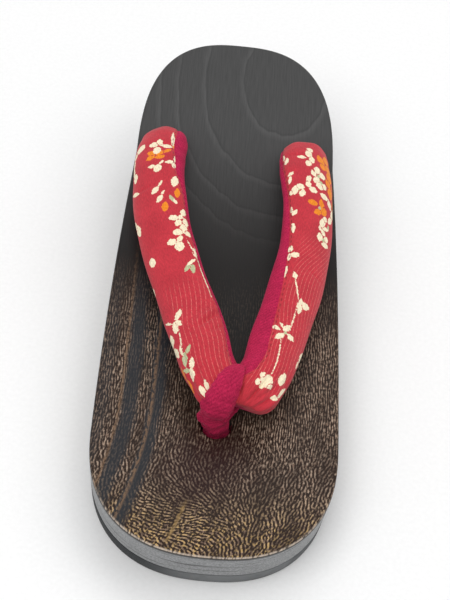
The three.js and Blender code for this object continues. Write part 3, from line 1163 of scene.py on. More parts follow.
@dataclass(frozen=True)
class ScorchedLacquerTop:
    """Scorched and brushed light wood under clear satin lacquer.

    The soft grain chars nearly black and the hard grain stays tan, so the eye gets short gold flecks on
    black-brown at the toe and faint pale cathedral lines at the heel, on a charcoal grey painted in as the
    lacquer's reflection.
    """

    # painted reflection: the heel's charcoal grey stands for the lacquer's grazing sheen over near-black wood
    heel: str = "434343"
    waist: str = "1b1817"
    fore: str = "271911"
    # painted shadow under the loop's knob, reddened like the loop's reflection
    loop_shadow_tint: str = "260d0c"
    fleck_brown: str = "6d5546"
    fleck_pale: str = "b8a18d"
    fleck_gold: str = "c8a56b"
    slate: str = "272a2f"
    tan: str = "7d624b"
    gold: str = "94784c"
    # painted highlight: the pale of the light caught on the toe's rounded rim
    rim: str = "c8b8a8"
    # where along the sandal each treatment starts, where it is full, and how strong it is then: fore wood's
    # tone, brown sides, bands, curling flecks, toe (gold flecks and the painted rim highlight), cathedral
    # lines, and flecks in all
    stretches: tuple = (
        (-20.0, -62.0, 1.0), (14.0, -16.0, 1.0), (20.0, -30.0, 1.0), (-62.0, -86.0, 1.0),
        (-84.0, -112.0, 1.0), (-4.0, 30.0, 0.8), (8.0, -34.0, 0.85),
    )
    # where the painted shadow under the loop lies, reddened like the loop's reflection, and the mm from there
    # at which it starts and is full
    loop_shadow_spot: tuple = (1.0, -81.0, 0.0)
    loop_shadow_reach: tuple = (24.0, 3.0)
    # slate bands, tan lines and the gold streak as shares of a span across or along, with their strength
    band_span: tuple = (-39.5, 0.5)
    bands: tuple = (
        (0.0, 0.45), (0.10, 0.45), (0.16, 0.0), (0.22, 0.0), (0.26, 0.9), (0.34, 0.9), (0.40, 0.0),
        (0.46, 0.0), (0.48, 0.95), (0.56, 0.95), (0.62, 0.0),
    )
    line_span: tuple = (-39.25, 0.75)
    lines: tuple = (
        (0.158, 0.0), (0.170, 0.9), (0.178, 0.9), (0.192, 0.0), (0.430, 0.0), (0.442, 1.0), (0.452, 1.0),
        (0.466, 0.0),
    )
    streak_span: tuple = (-2.6, -0.5)
    streak: tuple = ((0.1, 0.0), (0.4, 1.0), (0.6, 1.0), (0.9, 0.0))
    streak_run: tuple = (-114.0, -95.0)
    streak_ends: tuple = ((0.0, 0.0), (0.15, 1.0), (0.8, 1.0), (1.0, 0.0))
    # mm round the heel's middle at which a pale cathedral line lies
    rings: tuple = (31.0, 56.0, 73.5, 85.0)
    ring_span: float = 110.0

    def build(self):
        """Make the material from the deck's `grain` and `figure` attributes.

        Returns:
            The material.
        """
        material, tree = blank_material("scorched_wood_satin_lacquer")
        new = partial(add_node, tree)
        grain, figure = (new("Attribute", attribute_name=name, out="Vector") for name in ("grain", "figure"))
        across, along, ring = new("SeparateXYZ", {0: grain}, out=None)
        turn, depth, heel_sheen_share = new("SeparateXYZ", {0: figure}, out=None)
        place = new("CombineXYZ", {0: across, 1: along})
        fore_share, browned, front, curling, toe, heel, amount = (
            new("MapRange", {0: along, 1: start, 2: full, 4: most}, **SMOOTH)
            for start, full, most in self.stretches)

        # long pores and brush marks about 0.5 mm wide and 12 mm long, and broad and fine changes of tone
        pores, tone, patch = (
            new("TexNoise", {0: new("Mapping", {0: place, 3: size}), "Scale": 1.0, **grit}, **FLAT)
            for size, grit in (((1.9, 0.085, 1.0), {"Detail": 4.0, "Roughness": 0.6}),
                               ((0.16, 0.05, 1.0), {"Detail": 3.0}),
                               ((1.3, 0.6, 1.0), {"Detail": 4.0, "Roughness": 0.6})))

        # flecks of hard grain: strokes 0.8 mm apart along the sides, curling bands 1.1 mm apart at the toe
        wander = new("Math", {0: tone, 1: 1.5, 2: -0.75}, operation="MULTIPLY_ADD")
        heading = new("Math", {0: turn, 1: wander}, operation="ADD")
        lean = new("Math", {0: heading, 1: 0.35}, operation="MULTIPLY")
        drawn = new("Mapping", {0: place, 3: (1.0, 0.42, 1.0)})
        curls, strokes = (
            new("TexGabor", {0: where, "Scale": size, "Frequency": 2.3, "Anisotropy": evenness,
                             "Orientation": way}, gabor_type="2D", out="Value")
            for where, size, evenness, way in ((place, 0.37, 0.78, heading), (drawn, 0.50, 0.74, lean)))
        flecks = new("Mix", {0: curling, 2: strokes, 3: curls})
        ragged = new("Math", {0: patch, 1: 0.9, 2: -0.45}, operation="MULTIPLY_ADD")
        flecks = new("Math", {0: flecks, 1: ragged}, operation="ADD")
        flecks = new("MapRange", {0: flecks, 1: 0.43, 2: 0.71}, **SMOOTH)

        # base tones from heel to toe: a charcoal heel that is painted reflection of the lacquer's sheen,
        # brown at both sides of the waist, and painted shadow under the loop, reddened like the loop's
        # reflection
        middle = new("Math", {0: across}, operation="ABSOLUTE")
        sides = new("MapRange", {0: middle, 1: 22.0, 2: 34.0}, **SMOOTH)
        brown = new("Math", {0: sides, 1: browned}, operation="MULTIPLY")
        # painted shadow under the loop's knob, reddened like the loop's reflection on the lacquer
        spot = new("VectorMath", {0: place, 1: self.loop_shadow_spot}, operation="DISTANCE", out="Value")
        red = new("MapRange", {0: spot, 1: self.loop_shadow_reach[0], 2: self.loop_shadow_reach[1], 4: 0.9}, **SMOOTH)
        base = new("Mix", {0: fore_share, 6: self.waist, 7: self.fore}, **COLOUR)
        for share, tint in ((heel_sheen_share, self.heel), (brown, self.fore), (red, self.loop_shadow_tint)):
            base = new("Mix", {0: share, 6: base, 7: tint}, **COLOUR)

        # slate bands run along the grain on the low-X side
        frayed = new("Math", {0: pores, 1: 5.0, 2: across}, operation="MULTIPLY_ADD")
        spread = new("MapRange", {0: frayed, 1: self.band_span[0], 2: self.band_span[1]})
        slate = new("ValToRGB", {0: spread}, stops=self.bands)
        slate = new("Math", {0: slate, 1: front}, operation="MULTIPLY")
        base = new("Mix", {0: slate, 6: base, 7: self.slate}, **COLOUR)

        # flecks start at the waist's sides, thin out under the strap, in the loop's painted shadow and in the
        # bands, and turn gold at the toe
        amount = new("Math", {0: amount, 1: toe}, operation="MAXIMUM")
        centre = new("MapRange", {0: middle, 1: 22.0, 2: 8.0}, **SMOOTH)
        centre = new("Math", {0: centre, 1: new("MapRange", {0: along, 1: -64.0, 2: -46.0})},
                     operation="MULTIPLY")
        quiet_in_loop_shadow, quiet_centre, quiet_slate = (
            new("MapRange", {0: zone, 3: 1.0, 4: left})
            for zone, left in ((red, 0.28), (centre, 0.15), (slate, 0.12)))
        uneven = new("MapRange", {0: tone, 1: 0.34, 2: 0.60, 3: 0.42, 4: 1.08})
        for factor in (quiet_in_loop_shadow, quiet_centre, uneven, quiet_slate):
            amount = new("Math", {0: amount, 1: factor}, operation="MULTIPLY")
        speck = new("TexNoise", {0: place, "Scale": 0.7, "Detail": 3.0, "Roughness": 0.7}, **FLAT)
        gilt = new("MapRange", {0: speck, 1: 0.42, 2: 0.60})
        gilt = new("Math", {0: gilt, 1: toe}, operation="MULTIPLY")
        pale = new("MapRange", {0: speck, 1: 0.36, 2: 0.62, 3: 0.1, 4: 1.0})
        stroke = new("Mix", {0: pale, 6: self.fleck_brown, 7: self.fleck_pale}, **COLOUR)
        stroke = new("Mix", {0: gilt, 6: stroke, 7: self.fleck_gold}, **COLOUR)
        share = new("Math", {0: flecks, 1: amount}, operation="MULTIPLY")
        colour = new("Mix", {0: share, 6: base, 7: stroke}, **COLOUR)

        # tan lines beside the bands, and the gold streak at the toe, each worn away in places
        frayed = new("Math", {0: patch, 1: 1.5, 2: across}, operation="MULTIPLY_ADD")
        wear_and_painted_light = new("MapRange", {0: patch, 1: 0.34, 2: 0.56, 3: 0.12, 4: 0.85})
        lines, streak, ends = (
            new("ValToRGB", {0: new("MapRange", {0: source, 1: span[0], 2: span[1]})}, stops=stops)
            for source, span, stops in ((frayed, self.line_span, self.lines),
                                        (frayed, self.streak_span, self.streak),
                                        (along, self.streak_run, self.streak_ends)))
        for mark, kept, tint in ((lines, front, self.tan), (streak, ends, self.gold)):
            mark = new("Math", {0: mark, 1: kept}, operation="MULTIPLY")
            mark = new("Math", {0: mark, 1: wear_and_painted_light}, operation="MULTIPLY")
            colour = new("Mix", {0: mark, 6: colour, 7: tint}, **COLOUR)

        # cathedral lines: a dark edge of painted shadow, then the pale grain line itself, fading outwards;
        # half grey changes nothing
        wander = new("Math", {0: tone, 1: 4.0, 2: ring}, operation="MULTIPLY_ADD")
        wander = new("Math", {0: wander, 1: 1 / self.ring_span, 2: -2.0 / self.ring_span},
                     operation="MULTIPLY_ADD")
        stops = [(0.0, 0.5)]
        for radius in self.rings:
            at = radius / self.ring_span
            stops += [(at - 0.016, 0.5), (at - 0.005, 0.30), (at + 0.001, 0.95), (at + 0.03, 0.5)]
        arcs = new("ValToRGB", {0: wander}, stops=stops)
        arcs = new("Math", {0: arcs, 1: -0.5}, operation="ADD")
        arcs = new("Math", {0: arcs, 1: heel, 2: 1.0}, operation="MULTIPLY_ADD")
        colour = new("VectorMath", {0: colour, "Scale": arcs}, operation="SCALE")

        # painted highlight: a pale line along the toe's rounded rim, broken in patches, stands for light
        # catching the edge; further down, the rim darkens to the waist tone all round
        wear_and_painted_light = new("MapRange", {0: patch, 1: 0.36, 2: 0.5, 3: 0.15, 4: 0.9})
        rim = new("MapRange", {0: depth, 1: 0.05, 2: 0.35})
        for factor in (wear_and_painted_light, toe, new("MapRange", {0: depth, 1: 0.9, 2: 0.7})):
            rim = new("Math", {0: rim, 1: factor}, operation="MULTIPLY")
        below = new("MapRange", {0: depth, 1: 0.75, 2: 0.95})
        for share_of, tint in ((rim, self.rim), (below, self.waist)):
            colour = new("Mix", {0: share_of, 6: colour, 7: tint}, **COLOUR)

        # brush marks darken and lighten everything by about a fifth
        shade = new("MapRange", {0: pores, 1: 0.25, 2: 0.75, 3: 0.80, 4: 1.18})
        colour = new("VectorMath", {0: colour, "Scale": shade}, operation="SCALE")
        brushed = new("Math", {0: pores, 1: 0.6}, operation="MULTIPLY")
        height = new("Math", {0: share, 1: 0.5, 2: brushed}, operation="MULTIPLY_ADD")
        height = new("Math", {0: arcs, 1: height}, operation="ADD")
        bump = new("Bump", {"Strength": 0.4, "Distance": 0.00015, "Height": height})
        rough = new("MapRange", {0: pores, 1: 0.3, 2: 0.7, 3: 0.42, 4: 0.56})
        return finish_material(material, {
            "Base Color": colour, "Roughness": rough, "IOR": 1.5, "Normal": bump, "Coat Weight": 0.03,
            "Coat Roughness": 0.25, "Specular IOR Level": 0.15})


@dataclass(frozen=True)
class SandedPlankWall:
    """The plank's cut edge: grey-washed end grain at toe and heel, brown long grain at the sides.

    Sanding closes end grain to a flat grey, while the long grain beside it keeps the wood's own brown.
    """

    end: str = "8a8b8c"
    end_dark: str = "4c4d4e"
    long: str = "5f4f3e"
    long_dark: str = "30271f"
    gold: str = "9c7f56"
    edge_dark: str = "1c1918"

    def build(self):
        """Make the material from Object coordinates and the depth under the top in `figure`.

        Returns:
            The material.
        """
        material, tree = blank_material("sanded_plank_edge")
        new = partial(add_node, tree)
        where = new("TexCoord", out="Object")
        along = new("SeparateXYZ", {0: where}, out="Y")
        depth = new("SeparateXYZ", {0: new("Attribute", attribute_name="figure", out="Vector")}, out="Y")
        # growth layers lie nearly flat in the plank, 1 to 2 mm thick, dipping towards high X
        flat = new("Mapping", {0: where, 2: (0.10, 0.22, 0.0), 3: (28.0, 16.0, 900.0)})
        layers = new("TexNoise", {0: flat, "Scale": 1.0, "Detail": 5.0, "Roughness": 0.62})
        pores = new("TexNoise", {0: where, "Scale": 1500.0, "Detail": 3.0, "Roughness": 0.7})
        grey, brown = (new("ValToRGB", {0: layers}, stops=stops) for stops in (
            [(0.34, self.end_dark), (0.43, self.end), (0.8, self.end)],
            [(0.36, self.long_dark), (0.54, self.long), (0.72, self.gold)]))
        distance = new("Math", {0: along}, operation="ABSOLUTE")
        share = new("MapRange", {0: distance, 1: 0.060, 2: 0.088}, **SMOOTH)
        colour = new("Mix", {0: share, 6: brown, 7: grey}, **COLOUR)
        # just under the rim the wall darkens in a line 1 mm wide, below the top's painted pale highlight at
        # the toe
        rim = new("MapRange", {0: depth, 1: 2.6, 2: 1.7, 4: 0.92})
        colour = new("Mix", {0: rim, 6: colour, 7: self.edge_dark}, **COLOUR)
        shade = new("MapRange", {0: pores, 1: 0.35, 2: 0.65, 3: 0.62, 4: 1.3})
        colour = new("VectorMath", {0: colour, "Scale": shade}, operation="SCALE")
        bump = new("Bump", {"Strength": 0.3, "Distance": 0.0001, "Height": layers})
        return finish_material(material, {"Base Color": colour, "Roughness": 0.5, "IOR": 1.5, "Normal": bump})


@dataclass(frozen=True)
class CrumbRubber:
    """Die-cut sponge rubber, with painted light: pale grey in patches at the toe's high-X side.

    Cutting opens the sponge's cells, so the eye gets matt charcoal with fine pits about 0.4 mm across.
    """

    body: str = "323436"
    pit: str = "1e1f20"
    painted_light_grey: str = "77797a"

    def build(self):
        """Make the material from Object coordinates.

        Returns:
            The material.
        """
        material, tree = blank_material("die_cut_sponge_rubber")
        new = partial(add_node, tree)
        where = new("TexCoord", out="Object")
        across, along, _ = new("SeparateXYZ", {0: where}, out=None)
        pits, rubber_blotch = (new("TexNoise", {0: where, "Scale": scale, "Detail": detail})
                      for scale, detail in ((2400.0, 3.0), (90.0, 4.0)))
        colour = new("ValToRGB", {0: pits}, stops=[(0.34, self.pit), (0.5, self.body)])
        # painted light: the toe's high-X side turns pale grey in patches, where the light falls on it
        toe = new("MapRange", {0: along, 1: -0.088, 2: -0.106}, **SMOOTH)
        side = new("MapRange", {0: across, 1: -0.024, 2: 0.0, 4: 0.9}, **SMOOTH)
        wear_and_painted_light = new("MapRange", {0: rubber_blotch, 1: 0.35, 2: 0.55, 3: 0.5, 4: 1.0})
        for factor in (toe, side):
            wear_and_painted_light = new("Math", {0: wear_and_painted_light, 1: factor}, operation="MULTIPLY")
        colour = new("Mix", {0: wear_and_painted_light, 6: colour, 7: self.painted_light_grey}, **COLOUR)
        rough = new("MapRange", {0: rubber_blotch, 3: 0.74, 4: 0.95})
        bump = new("Bump", {"Strength": 0.4, "Distance": 0.00015, "Height": pits})
        return finish_material(material, {"Base Color": colour, "Roughness": rough, "IOR": 1.52,
                                          "Normal": bump})


@dataclass(frozen=True)
class PrintedCrepe:
    """Screen-printed cotton crepe: matt red cloth with a puckered grain, and opaque ink shapes.

    The crepe's grain is 0.3 mm in the real cloth and drawn at 0.7 mm so that it shows.
    """

    red: str = "c83340"
    deep: str = "9c1f2c"
    cream: str = "f6e8c8"
    orange: str = "ee8a1c"
    leaf: str = "bcc096"
    line: str = "ee8c80"
    thread: str = "6e1420"
    # mm from the lining's seam to the stitches, and half their step along it
    stitch_row: float = 0.85
    stitch_step: float = 1.3

    def build(self):
        """Make the material from the arm's `ink`, `flow` and `cloth` attributes.

        Returns:
            The material.
        """
        material, tree = blank_material("printed_cotton_crepe")
        new = partial(add_node, tree)
        ink, flow, cloth = (new("Attribute", attribute_name=name, out="Vector")
                            for name in ("ink", "flow", "cloth"))
        lane, present, seam = new("SeparateXYZ", {0: flow}, out=None)
        along = new("SeparateXYZ", {0: cloth}, out="Y")
        bias = new("Mapping", {0: cloth, 2: (0.0, 0.0, 0.9), 3: (1.9, 0.75, 1.0)})
        crepe = new("TexNoise", {0: bias, "Scale": 1.0, "Detail": 3.0, "Roughness": 0.65})
        mottle = new("TexNoise", {0: cloth, "Scale": 0.11, "Detail": 3.0})
        ragged = new("TexNoise", {0: cloth, "Scale": 1.3, "Detail": 2.0})

        # thin parallel lines over the mottled red, faded in places
        share = new("MapRange", {0: mottle, 1: 0.3, 2: 0.7, 3: 0.62, 4: 1.0})
        colour = new("Mix", {0: share, 6: self.deep, 7: self.red}, **COLOUR)
        for operation in ("ADD", "PINGPONG"):
            lane = new("Math", {0: lane, 1: 0.5}, operation=operation)
        line = new("MapRange", {0: lane, 1: 0.39, 2: 0.49})
        faded = new("MapRange", {0: ragged, 1: 0.36, 2: 0.62, 3: 0.10, 4: 0.72})
        for factor in (present, faded):
            line = new("Math", {0: line, 1: factor}, operation="MULTIPLY")
        colour = new("Mix", {0: line, 6: colour, 7: self.line}, **COLOUR)

        # each ink's edge is crisp to 0.2 mm and wanders by up to 0.3 mm
        distances = new("SeparateXYZ", {0: ink}, out=None)
        wobble = new("Math", {0: ragged, 1: 1.1, 2: -0.55}, operation="MULTIPLY_ADD")
        for kind, hue in ((Ink.LEAF, self.leaf), (Ink.ORANGE, self.orange), (Ink.CREAM, self.cream)):
            edge = new("Math", {0: distances[kind.value], 1: wobble}, operation="ADD")
            inside = new("MapRange", {0: edge, 1: 0.10, 2: -0.10})
            colour = new("Mix", {0: inside, 6: colour, 7: hue}, **COLOUR)

        # running stitches beside the lining's seam
        offset = new("Math", {0: seam, 1: -self.stitch_row}, operation="ADD")
        offset = new("Math", {0: offset}, operation="ABSOLUTE")
        row = new("MapRange", {0: offset, 1: 0.30, 2: 0.14, 4: 0.6})
        step = new("Math", {0: along, 1: self.stitch_step}, operation="PINGPONG")
        gap = new("MapRange", {0: step, 1: 0.55, 2: 0.75})
        stitch = new("Math", {0: row, 1: gap}, operation="MULTIPLY")
        colour = new("Mix", {0: stitch, 6: colour, 7: self.thread}, **COLOUR)
        shade = new("MapRange", {0: crepe, 1: 0.3, 2: 0.7, 3: 0.80, 4: 1.18})
        colour = new("VectorMath", {0: colour, "Scale": shade}, operation="SCALE")
        bump = new("Bump", {"Strength": 0.9, "Distance": 0.00025, "Height": crepe})
        return finish_material(material, {
            "Base Color": colour, "Roughness": 0.86, "IOR": 1.5, "Normal": bump, "Sheen Weight": 0.14,
            "Sheen Roughness": 0.5, "Specular IOR Level": 0.25})


@dataclass(frozen=True)
class RibbedVelvet:
    """Cut-pile velvet, woven in fine ribs.

    The upright pile drinks the light from above, so the eye gets deep magenta that pales edge on.
    """

    pile: str = "c62a54"
    root: str = "8a1136"
    sheen: str = "f07898"
    # mm between ribs, and a wave texture's scale times its bands' spacing
    rib_mm: float = 0.85
    wave_unit: float = 0.314

    def build(self):
        """Make the material from the piece's `cloth` attribute.

        Returns:
            The material.
        """
        material, tree = blank_material("magenta_ribbed_velvet")
        new = partial(add_node, tree)
        cloth = new("Attribute", attribute_name="cloth", out="Vector")
        nap = new("Mapping", {0: cloth, 3: (2.2, 1.6, 1.0)})
        nap = new("TexNoise", {0: nap, "Scale": 1.0, "Detail": 4.0, "Roughness": 0.7})
        patch = new("TexNoise", {0: cloth, "Scale": 0.22, "Detail": 3.0})
        ribs = new("TexWave", {0: cloth, "Scale": self.wave_unit / self.rib_mm, "Distortion": 2.5,
                               "Detail": 2.0, "Detail Scale": 1.0}, bands_direction="DIAGONAL", out="Fac")
        height = new("Math", {0: ribs, 1: 0.08, 2: nap}, operation="MULTIPLY_ADD")
        tone = new("MapRange", {0: height, 1: 0.32, 2: 0.68})
        colour = new("Mix", {0: tone, 6: self.root, 7: self.pile}, **COLOUR)
        shade = new("MapRange", {0: patch, 1: 0.3, 2: 0.7, 3: 0.88, 4: 1.12})
        colour = new("VectorMath", {0: colour, "Scale": shade}, operation="SCALE")
        bump = new("Bump", {"Strength": 0.6, "Distance": 0.00025, "Height": height})
        return finish_material(material, {
            "Base Color": colour, "Roughness": 0.95, "IOR": 1.5, "Normal": bump, "Sheen Weight": 0.4,
            "Sheen Roughness": 0.35, "Sheen Tint": self.sheen, "Specular IOR Level": 0.15})


# ---------------------------------------------------------------- the print, charted


def low_x_print() -> list:
    """Chart the arm at low X: each shape's mm along, mm round, length, width and turn in degrees.

    Returns:
        Its blossoms, buds, stems and leaves.
    """
    shapes = {
        Ink.CREAM: (
            (5, -7.5, 4, 1.8, 0), (6, -5.3, 4.5, 1.5, 10), (4, -4.2, 3, 1.2, -60), (12.5, -8, 5, 2, 25),
            (15.6, -6.2, 4, 1.6, 30), (22, -8, 4, 1.2, 5), (23, -10.8, 5, 2.6, -20), (28.5, -11, 5, 3, 20),
            (26, -12.6, 4, 2, 0), (32.4, -7, 5, 2, 10), (33.6, -5.5, 3.4, 1.8, -30), (36.6, -4.5, 4.5, 2, 40),
            (35.6, -9, 3.5, 0.8, -50), (53, -11.6, 3.5, 1.5, 0), (63, -6.9, 3.5, 2.4, 0),
            (57.6, 6.8, 4.5, 1.2, 55), (62.4, 9.8, 4.5, 2.2, 15), (64.8, 11, 3, 1.6, 30),
            (65.6, 4.5, 4, 3, 10), (68, 2.2, 3, 2.4, 80), (68.6, 5.2, 3.4, 1.8, 40), (72, 5.5, 3.6, 2.6, 80),
            (73.6, 7.6, 4.6, 2.4, 10), (71, 8.7, 3, 1.8, -30), (76.5, 6.2, 3, 2, 30), (79.1, 5, 3.2, 2.2, 90),
            (76.6, 9, 4, 2, 0), (79.4, 7.6, 2.6, 1.6, 45), (81.7, 9, 3.6, 2, 15), (97.5, 7, 5, 2.6, 8),
            (89.4, 1.1, 3.6, 1.9, 30), (92, 2.4, 2.6, 0.8, 25), (93.8, -0.4, 3.6, 2, 40),
            (96.6, 1.6, 3.4, 0.9, 30), (79.5, -9.6, 5, 2.6, -10), (82.4, -10.8, 4, 1.6, -10),
            (95.5, -9, 3.6, 1.6, -70), (103, -9, 4, 2.2, 0), (106.2, -10.2, 3.5, 1.4, 0),
            (110, -10.6, 5, 1.6, 5), (114, -9.8, 4, 1.6, 15), (116.4, -7.8, 4, 3, 40),
            (104.4, 0.5, 3.4, 2.6, 20), (105.6, -1.7, 2.6, 1.6, 90), (107.3, 1.9, 2.6, 0.9, 40),
            (113.6, -0.4, 3.4, 2.6, 0), (117, -2.1, 3.4, 2.4, 80), (118.2, -0.2, 2.8, 2.2, 0),
            (116.5, 2.8, 4.2, 2.1, 95), (107.6, 5, 3.2, 1.6, 80), (106.3, 6.7, 3, 1.8, 0),
            (110, 6.9, 3.6, 0.9, 0), (121, 4.6, 7, 1.4, -12), (87.2, 6.6, 2.4, 1.2, -20),
            (50, 9.6, 16, 0.5, 2), (61.5, 9.2, 12, 0.5, -12), (24, -7.2, 12, 0.45, 10),
        ),
        Ink.ORANGE: (
            (10, -11.6, 5, 1.6, 10), (15, -11.6, 4.4, 1.7, 10), (85, 2.6, 4.4, 2.2, 10),
            (91.6, 7.7, 4.4, 2, 5), (110, -2.6, 3.2, 2, 60), (112.2, -2.5, 3, 2, 120),
            (110.2, 0.9, 3.4, 2, 80), (112.2, 1, 3, 2, 50), (113.6, 3.5, 3.2, 1.6, 50),
            (117.4, 5.5, 3, 1.1, -5),
        ),
        Ink.LEAF: (
            (14.8, -9.2, 3, 1.2, -60), (18.4, -7.8, 4.5, 2.2, 30), (20.6, -5.6, 4, 1.4, 45),
            (55.5, 5, 4.5, 1.4, 40), (54.4, 6.6, 4, 1.7, 15), (88.6, 5.6, 3.8, 1.4, -25),
        ),
    }
    return [Petal(*row, ink) for ink, rows in shapes.items() for row in rows]


def high_x_print() -> list:
    """Chart the arm at high X: each shape's mm along, mm round, length, width and turn in degrees.

    Returns:
        Its blossoms, buds, stems and leaves.
    """
    shapes = {
        Ink.CREAM: (
            (5.6, -9, 2.6, 1.6, -60), (8.8, -10.3, 5, 1.6, -10), (12.5, -7.2, 4.4, 2.6, 15),
            (8.5, -2.5, 4.4, 4, 0), (7.3, -0.5, 2.4, 1.8, 60), (9.9, -0.3, 2.2, 1.6, 60),
            (7.6, -4.3, 2.6, 1.8, 80), (21, -10.2, 3, 1.4, 0), (25.4, -11, 5, 2.4, -10),
            (28.8, -3.2, 3, 1.9, 60), (27.3, 0.5, 3.8, 2.1, -35), (31.8, -0.9, 3.4, 2.1, -25),
            (30.2, 2.8, 3, 1.4, 80), (32.1, 1.3, 2.2, 0.9, 40), (43.4, -2.3, 6, 2.2, 8),
            (44.6, -3.9, 3.4, 2.6, -70), (55.6, 2.8, 3, 1.6, 25), (56.4, 6.6, 5.4, 1.3, 0),
            (65, 4.9, 3, 2.2, -60), (63.6, 6.7, 3, 1.4, 0), (67.6, 7, 3, 1.8, 0), (75.3, -5.9, 3, 2, -80),
            (78, -6.2, 2.4, 1.8, 0), (77.6, -3.2, 3.6, 2.2, 0), (80.2, -4.6, 2.4, 1.6, 30),
            (82.5, -5.6, 3, 1.5, -70), (84.6, -4, 4, 2.3, -15), (86.8, -5.1, 2.4, 1.8, 0),
            (81.8, -3.1, 2, 1.2, 0), (95, -7.4, 4, 2.1, 20), (97, -4.7, 3.6, 2.4, 70), (88, -8, 4, 2, -30),
            (91.4, -9.4, 5, 2, -10), (98.4, 0.1, 3, 2.4, 60), (100.9, 1.7, 3.6, 1.9, 10),
            (103.6, 1.4, 3.4, 1.8, -20), (96, 4.3, 3.6, 2.1, -20), (99.4, 4.8, 2.8, 2.3, 60),
            (97.6, 6.9, 4.4, 2.3, -10), (96.1, 8.5, 2.4, 1.1, 0), (101.4, -2.7, 3.4, 2.4, 30),
            (103.9, -1.7, 3.2, 2.2, -30), (101.8, -4.9, 2.6, 1.8, 0), (107, -4.5, 3, 2.2, 10),
            (109.2, -2.6, 3.2, 2.3, 0), (107, -0.8, 3, 1.9, 20), (112, 0.6, 3, 2.2, -20),
            (114.4, -1.1, 3.4, 2.1, 0), (117.5, 0, 3, 2.4, 10), (115.3, 2.9, 3.4, 1.8, 90),
            (119.9, -0.6, 2.4, 2.2, 60), (78.5, 7.3, 4.4, 1.5, 5), (86, 7.2, 3, 1.5, -30),
            (87.2, 8.4, 2.6, 0.9, 0), (103, 8.5, 3.6, 1.2, -10), (106, 7.9, 2.6, 1.3, -50),
            (113.5, 8.9, 3.5, 1.4, -15), (116, 9.9, 2.6, 1, 0),
            (50.5, 0.9, 11, 0.5, 22), (36, -1.8, 9, 0.45, 4), (19, -1.4, 15, 0.45, 9),
        ),
        Ink.ORANGE: (
            (90, -4.4, 3.4, 2.6, 0), (88.7, -1.8, 3, 2.3, -60), (93, -3.3, 3.8, 2, 10),
            (92.3, 0.4, 3.4, 2.3, 90), (100.6, -8.2, 5, 3, 0), (104.4, -7.2, 4, 2.4, 20),
            (108.4, -8.4, 5, 3, 0), (113, -8.6, 5, 3.2, 0), (116.2, -5.2, 4.6, 3, 30),
            (112.8, -5.8, 3.5, 2.6, 0), (118.2, -8.2, 4, 3, 0), (96.4, -11, 6, 3, 0), (104.4, -11, 6, 2.4, 0),
            (112, -12, 7, 2.2, 0),
        ),
        Ink.LEAF: (
            (90.8, -2.5, 1.4, 1.2, 0), (103.1, -3.6, 1.8, 1.3, 20), (106.2, -2.8, 1.6, 1.2, 0),
            (84.2, -6.9, 2, 1, 0), (77, -4.9, 1.5, 1.1, 0), (29.6, -0.9, 1.3, 1.1, 0), (98, 5.6, 1.4, 1, 0),
        ),
    }
    return [Petal(*row, ink) for ink, rows in shapes.items() for row in rows]


def low_x_arm(shape: DeckShape) -> StrapArm:
    """Chart the arm at low X: its print, its lining's edge and its creases.

    Args:
        shape: the deck that it lies over.

    Returns:
        The arm, ready to build.
    """
    flow = Flow(spacing=1.75, slant=0.17, bend=0.0, bend_start=60.0, start=3.0, stop=54.0,
                low=-7.0, high=9.5)
    lining_edge = ((0, 8.0), (10, 8.5), (20, 9.5), (30, 11.0), (90, 11.0), (98, 9.5), (104, 7.7), (112, 6.9),
                   (120, 5.6), (140, 5.0))
    creases = (
        (31, 5.0, 10, 1.5, 62, -0.9), (33.5, 5.5, 9, 1.5, 60, 0.6), (27, 7.0, 8, 1.2, 70, -0.4),
        (36, 3.5, 7, 1.2, 55, -0.35), (7, 2.0, 9, 1.3, -18, -0.5), (6, -2.5, 9, 1.3, 8, -0.5),
        (96, -3.0, 10, 1.5, 80, -0.25), (118, 2.0, 8, 1.4, 84, -0.4),
    )
    return StrapArm(shape, Side.LOW_X, low_x_print(), flow, lining_edge,
                    tuple(Crease(*row) for row in creases))


def high_x_arm(shape: DeckShape) -> StrapArm:
    """Chart the arm at high X: its print, its lining's edge, its creases and its gathered front end.

    Args:
        shape: the deck that it lies over.

    Returns:
        The arm, ready to build.
    """
    flow = Flow(spacing=1.4, slant=0.14, bend=-5.0, bend_start=45.0, start=4.0, stop=80.0,
                low=-11.0, high=5.0)
    lining_edge = ((0, 12.0), (3.5, 10.0), (7, 6.2), (11, 3.6), (20, 3.1), (30, 4.1), (40, 5.1), (50, 6.1),
                   (60, 7.1), (75, 8.5), (95, 10.0), (110, 11.0), (140, 11.5))
    creases = (
        (5, 4.0, 9, 1.2, 22, -0.7), (6, 1.2, 10, 1.2, 12, -0.7), (5, -2.0, 9, 1.2, -6, -0.75),
        (5, -5.2, 9, 1.3, -22, -0.7), (4.5, -8.4, 8, 1.3, -34, -0.6), (5.5, 2.7, 9, 1.2, 16, 0.4),
        (5, -3.6, 9, 1.2, -14, 0.45), (60, -4.0, 9, 1.5, 78, -0.25), (116, 3.0, 8, 1.4, 84, -0.4),
    )
    return StrapArm(shape, Side.HIGH_X, high_x_print(), flow, lining_edge,
                    tuple(Crease(*row) for row in creases), gather=(4.2, 1.4))


# ---------------------------------------------------------------- the studio


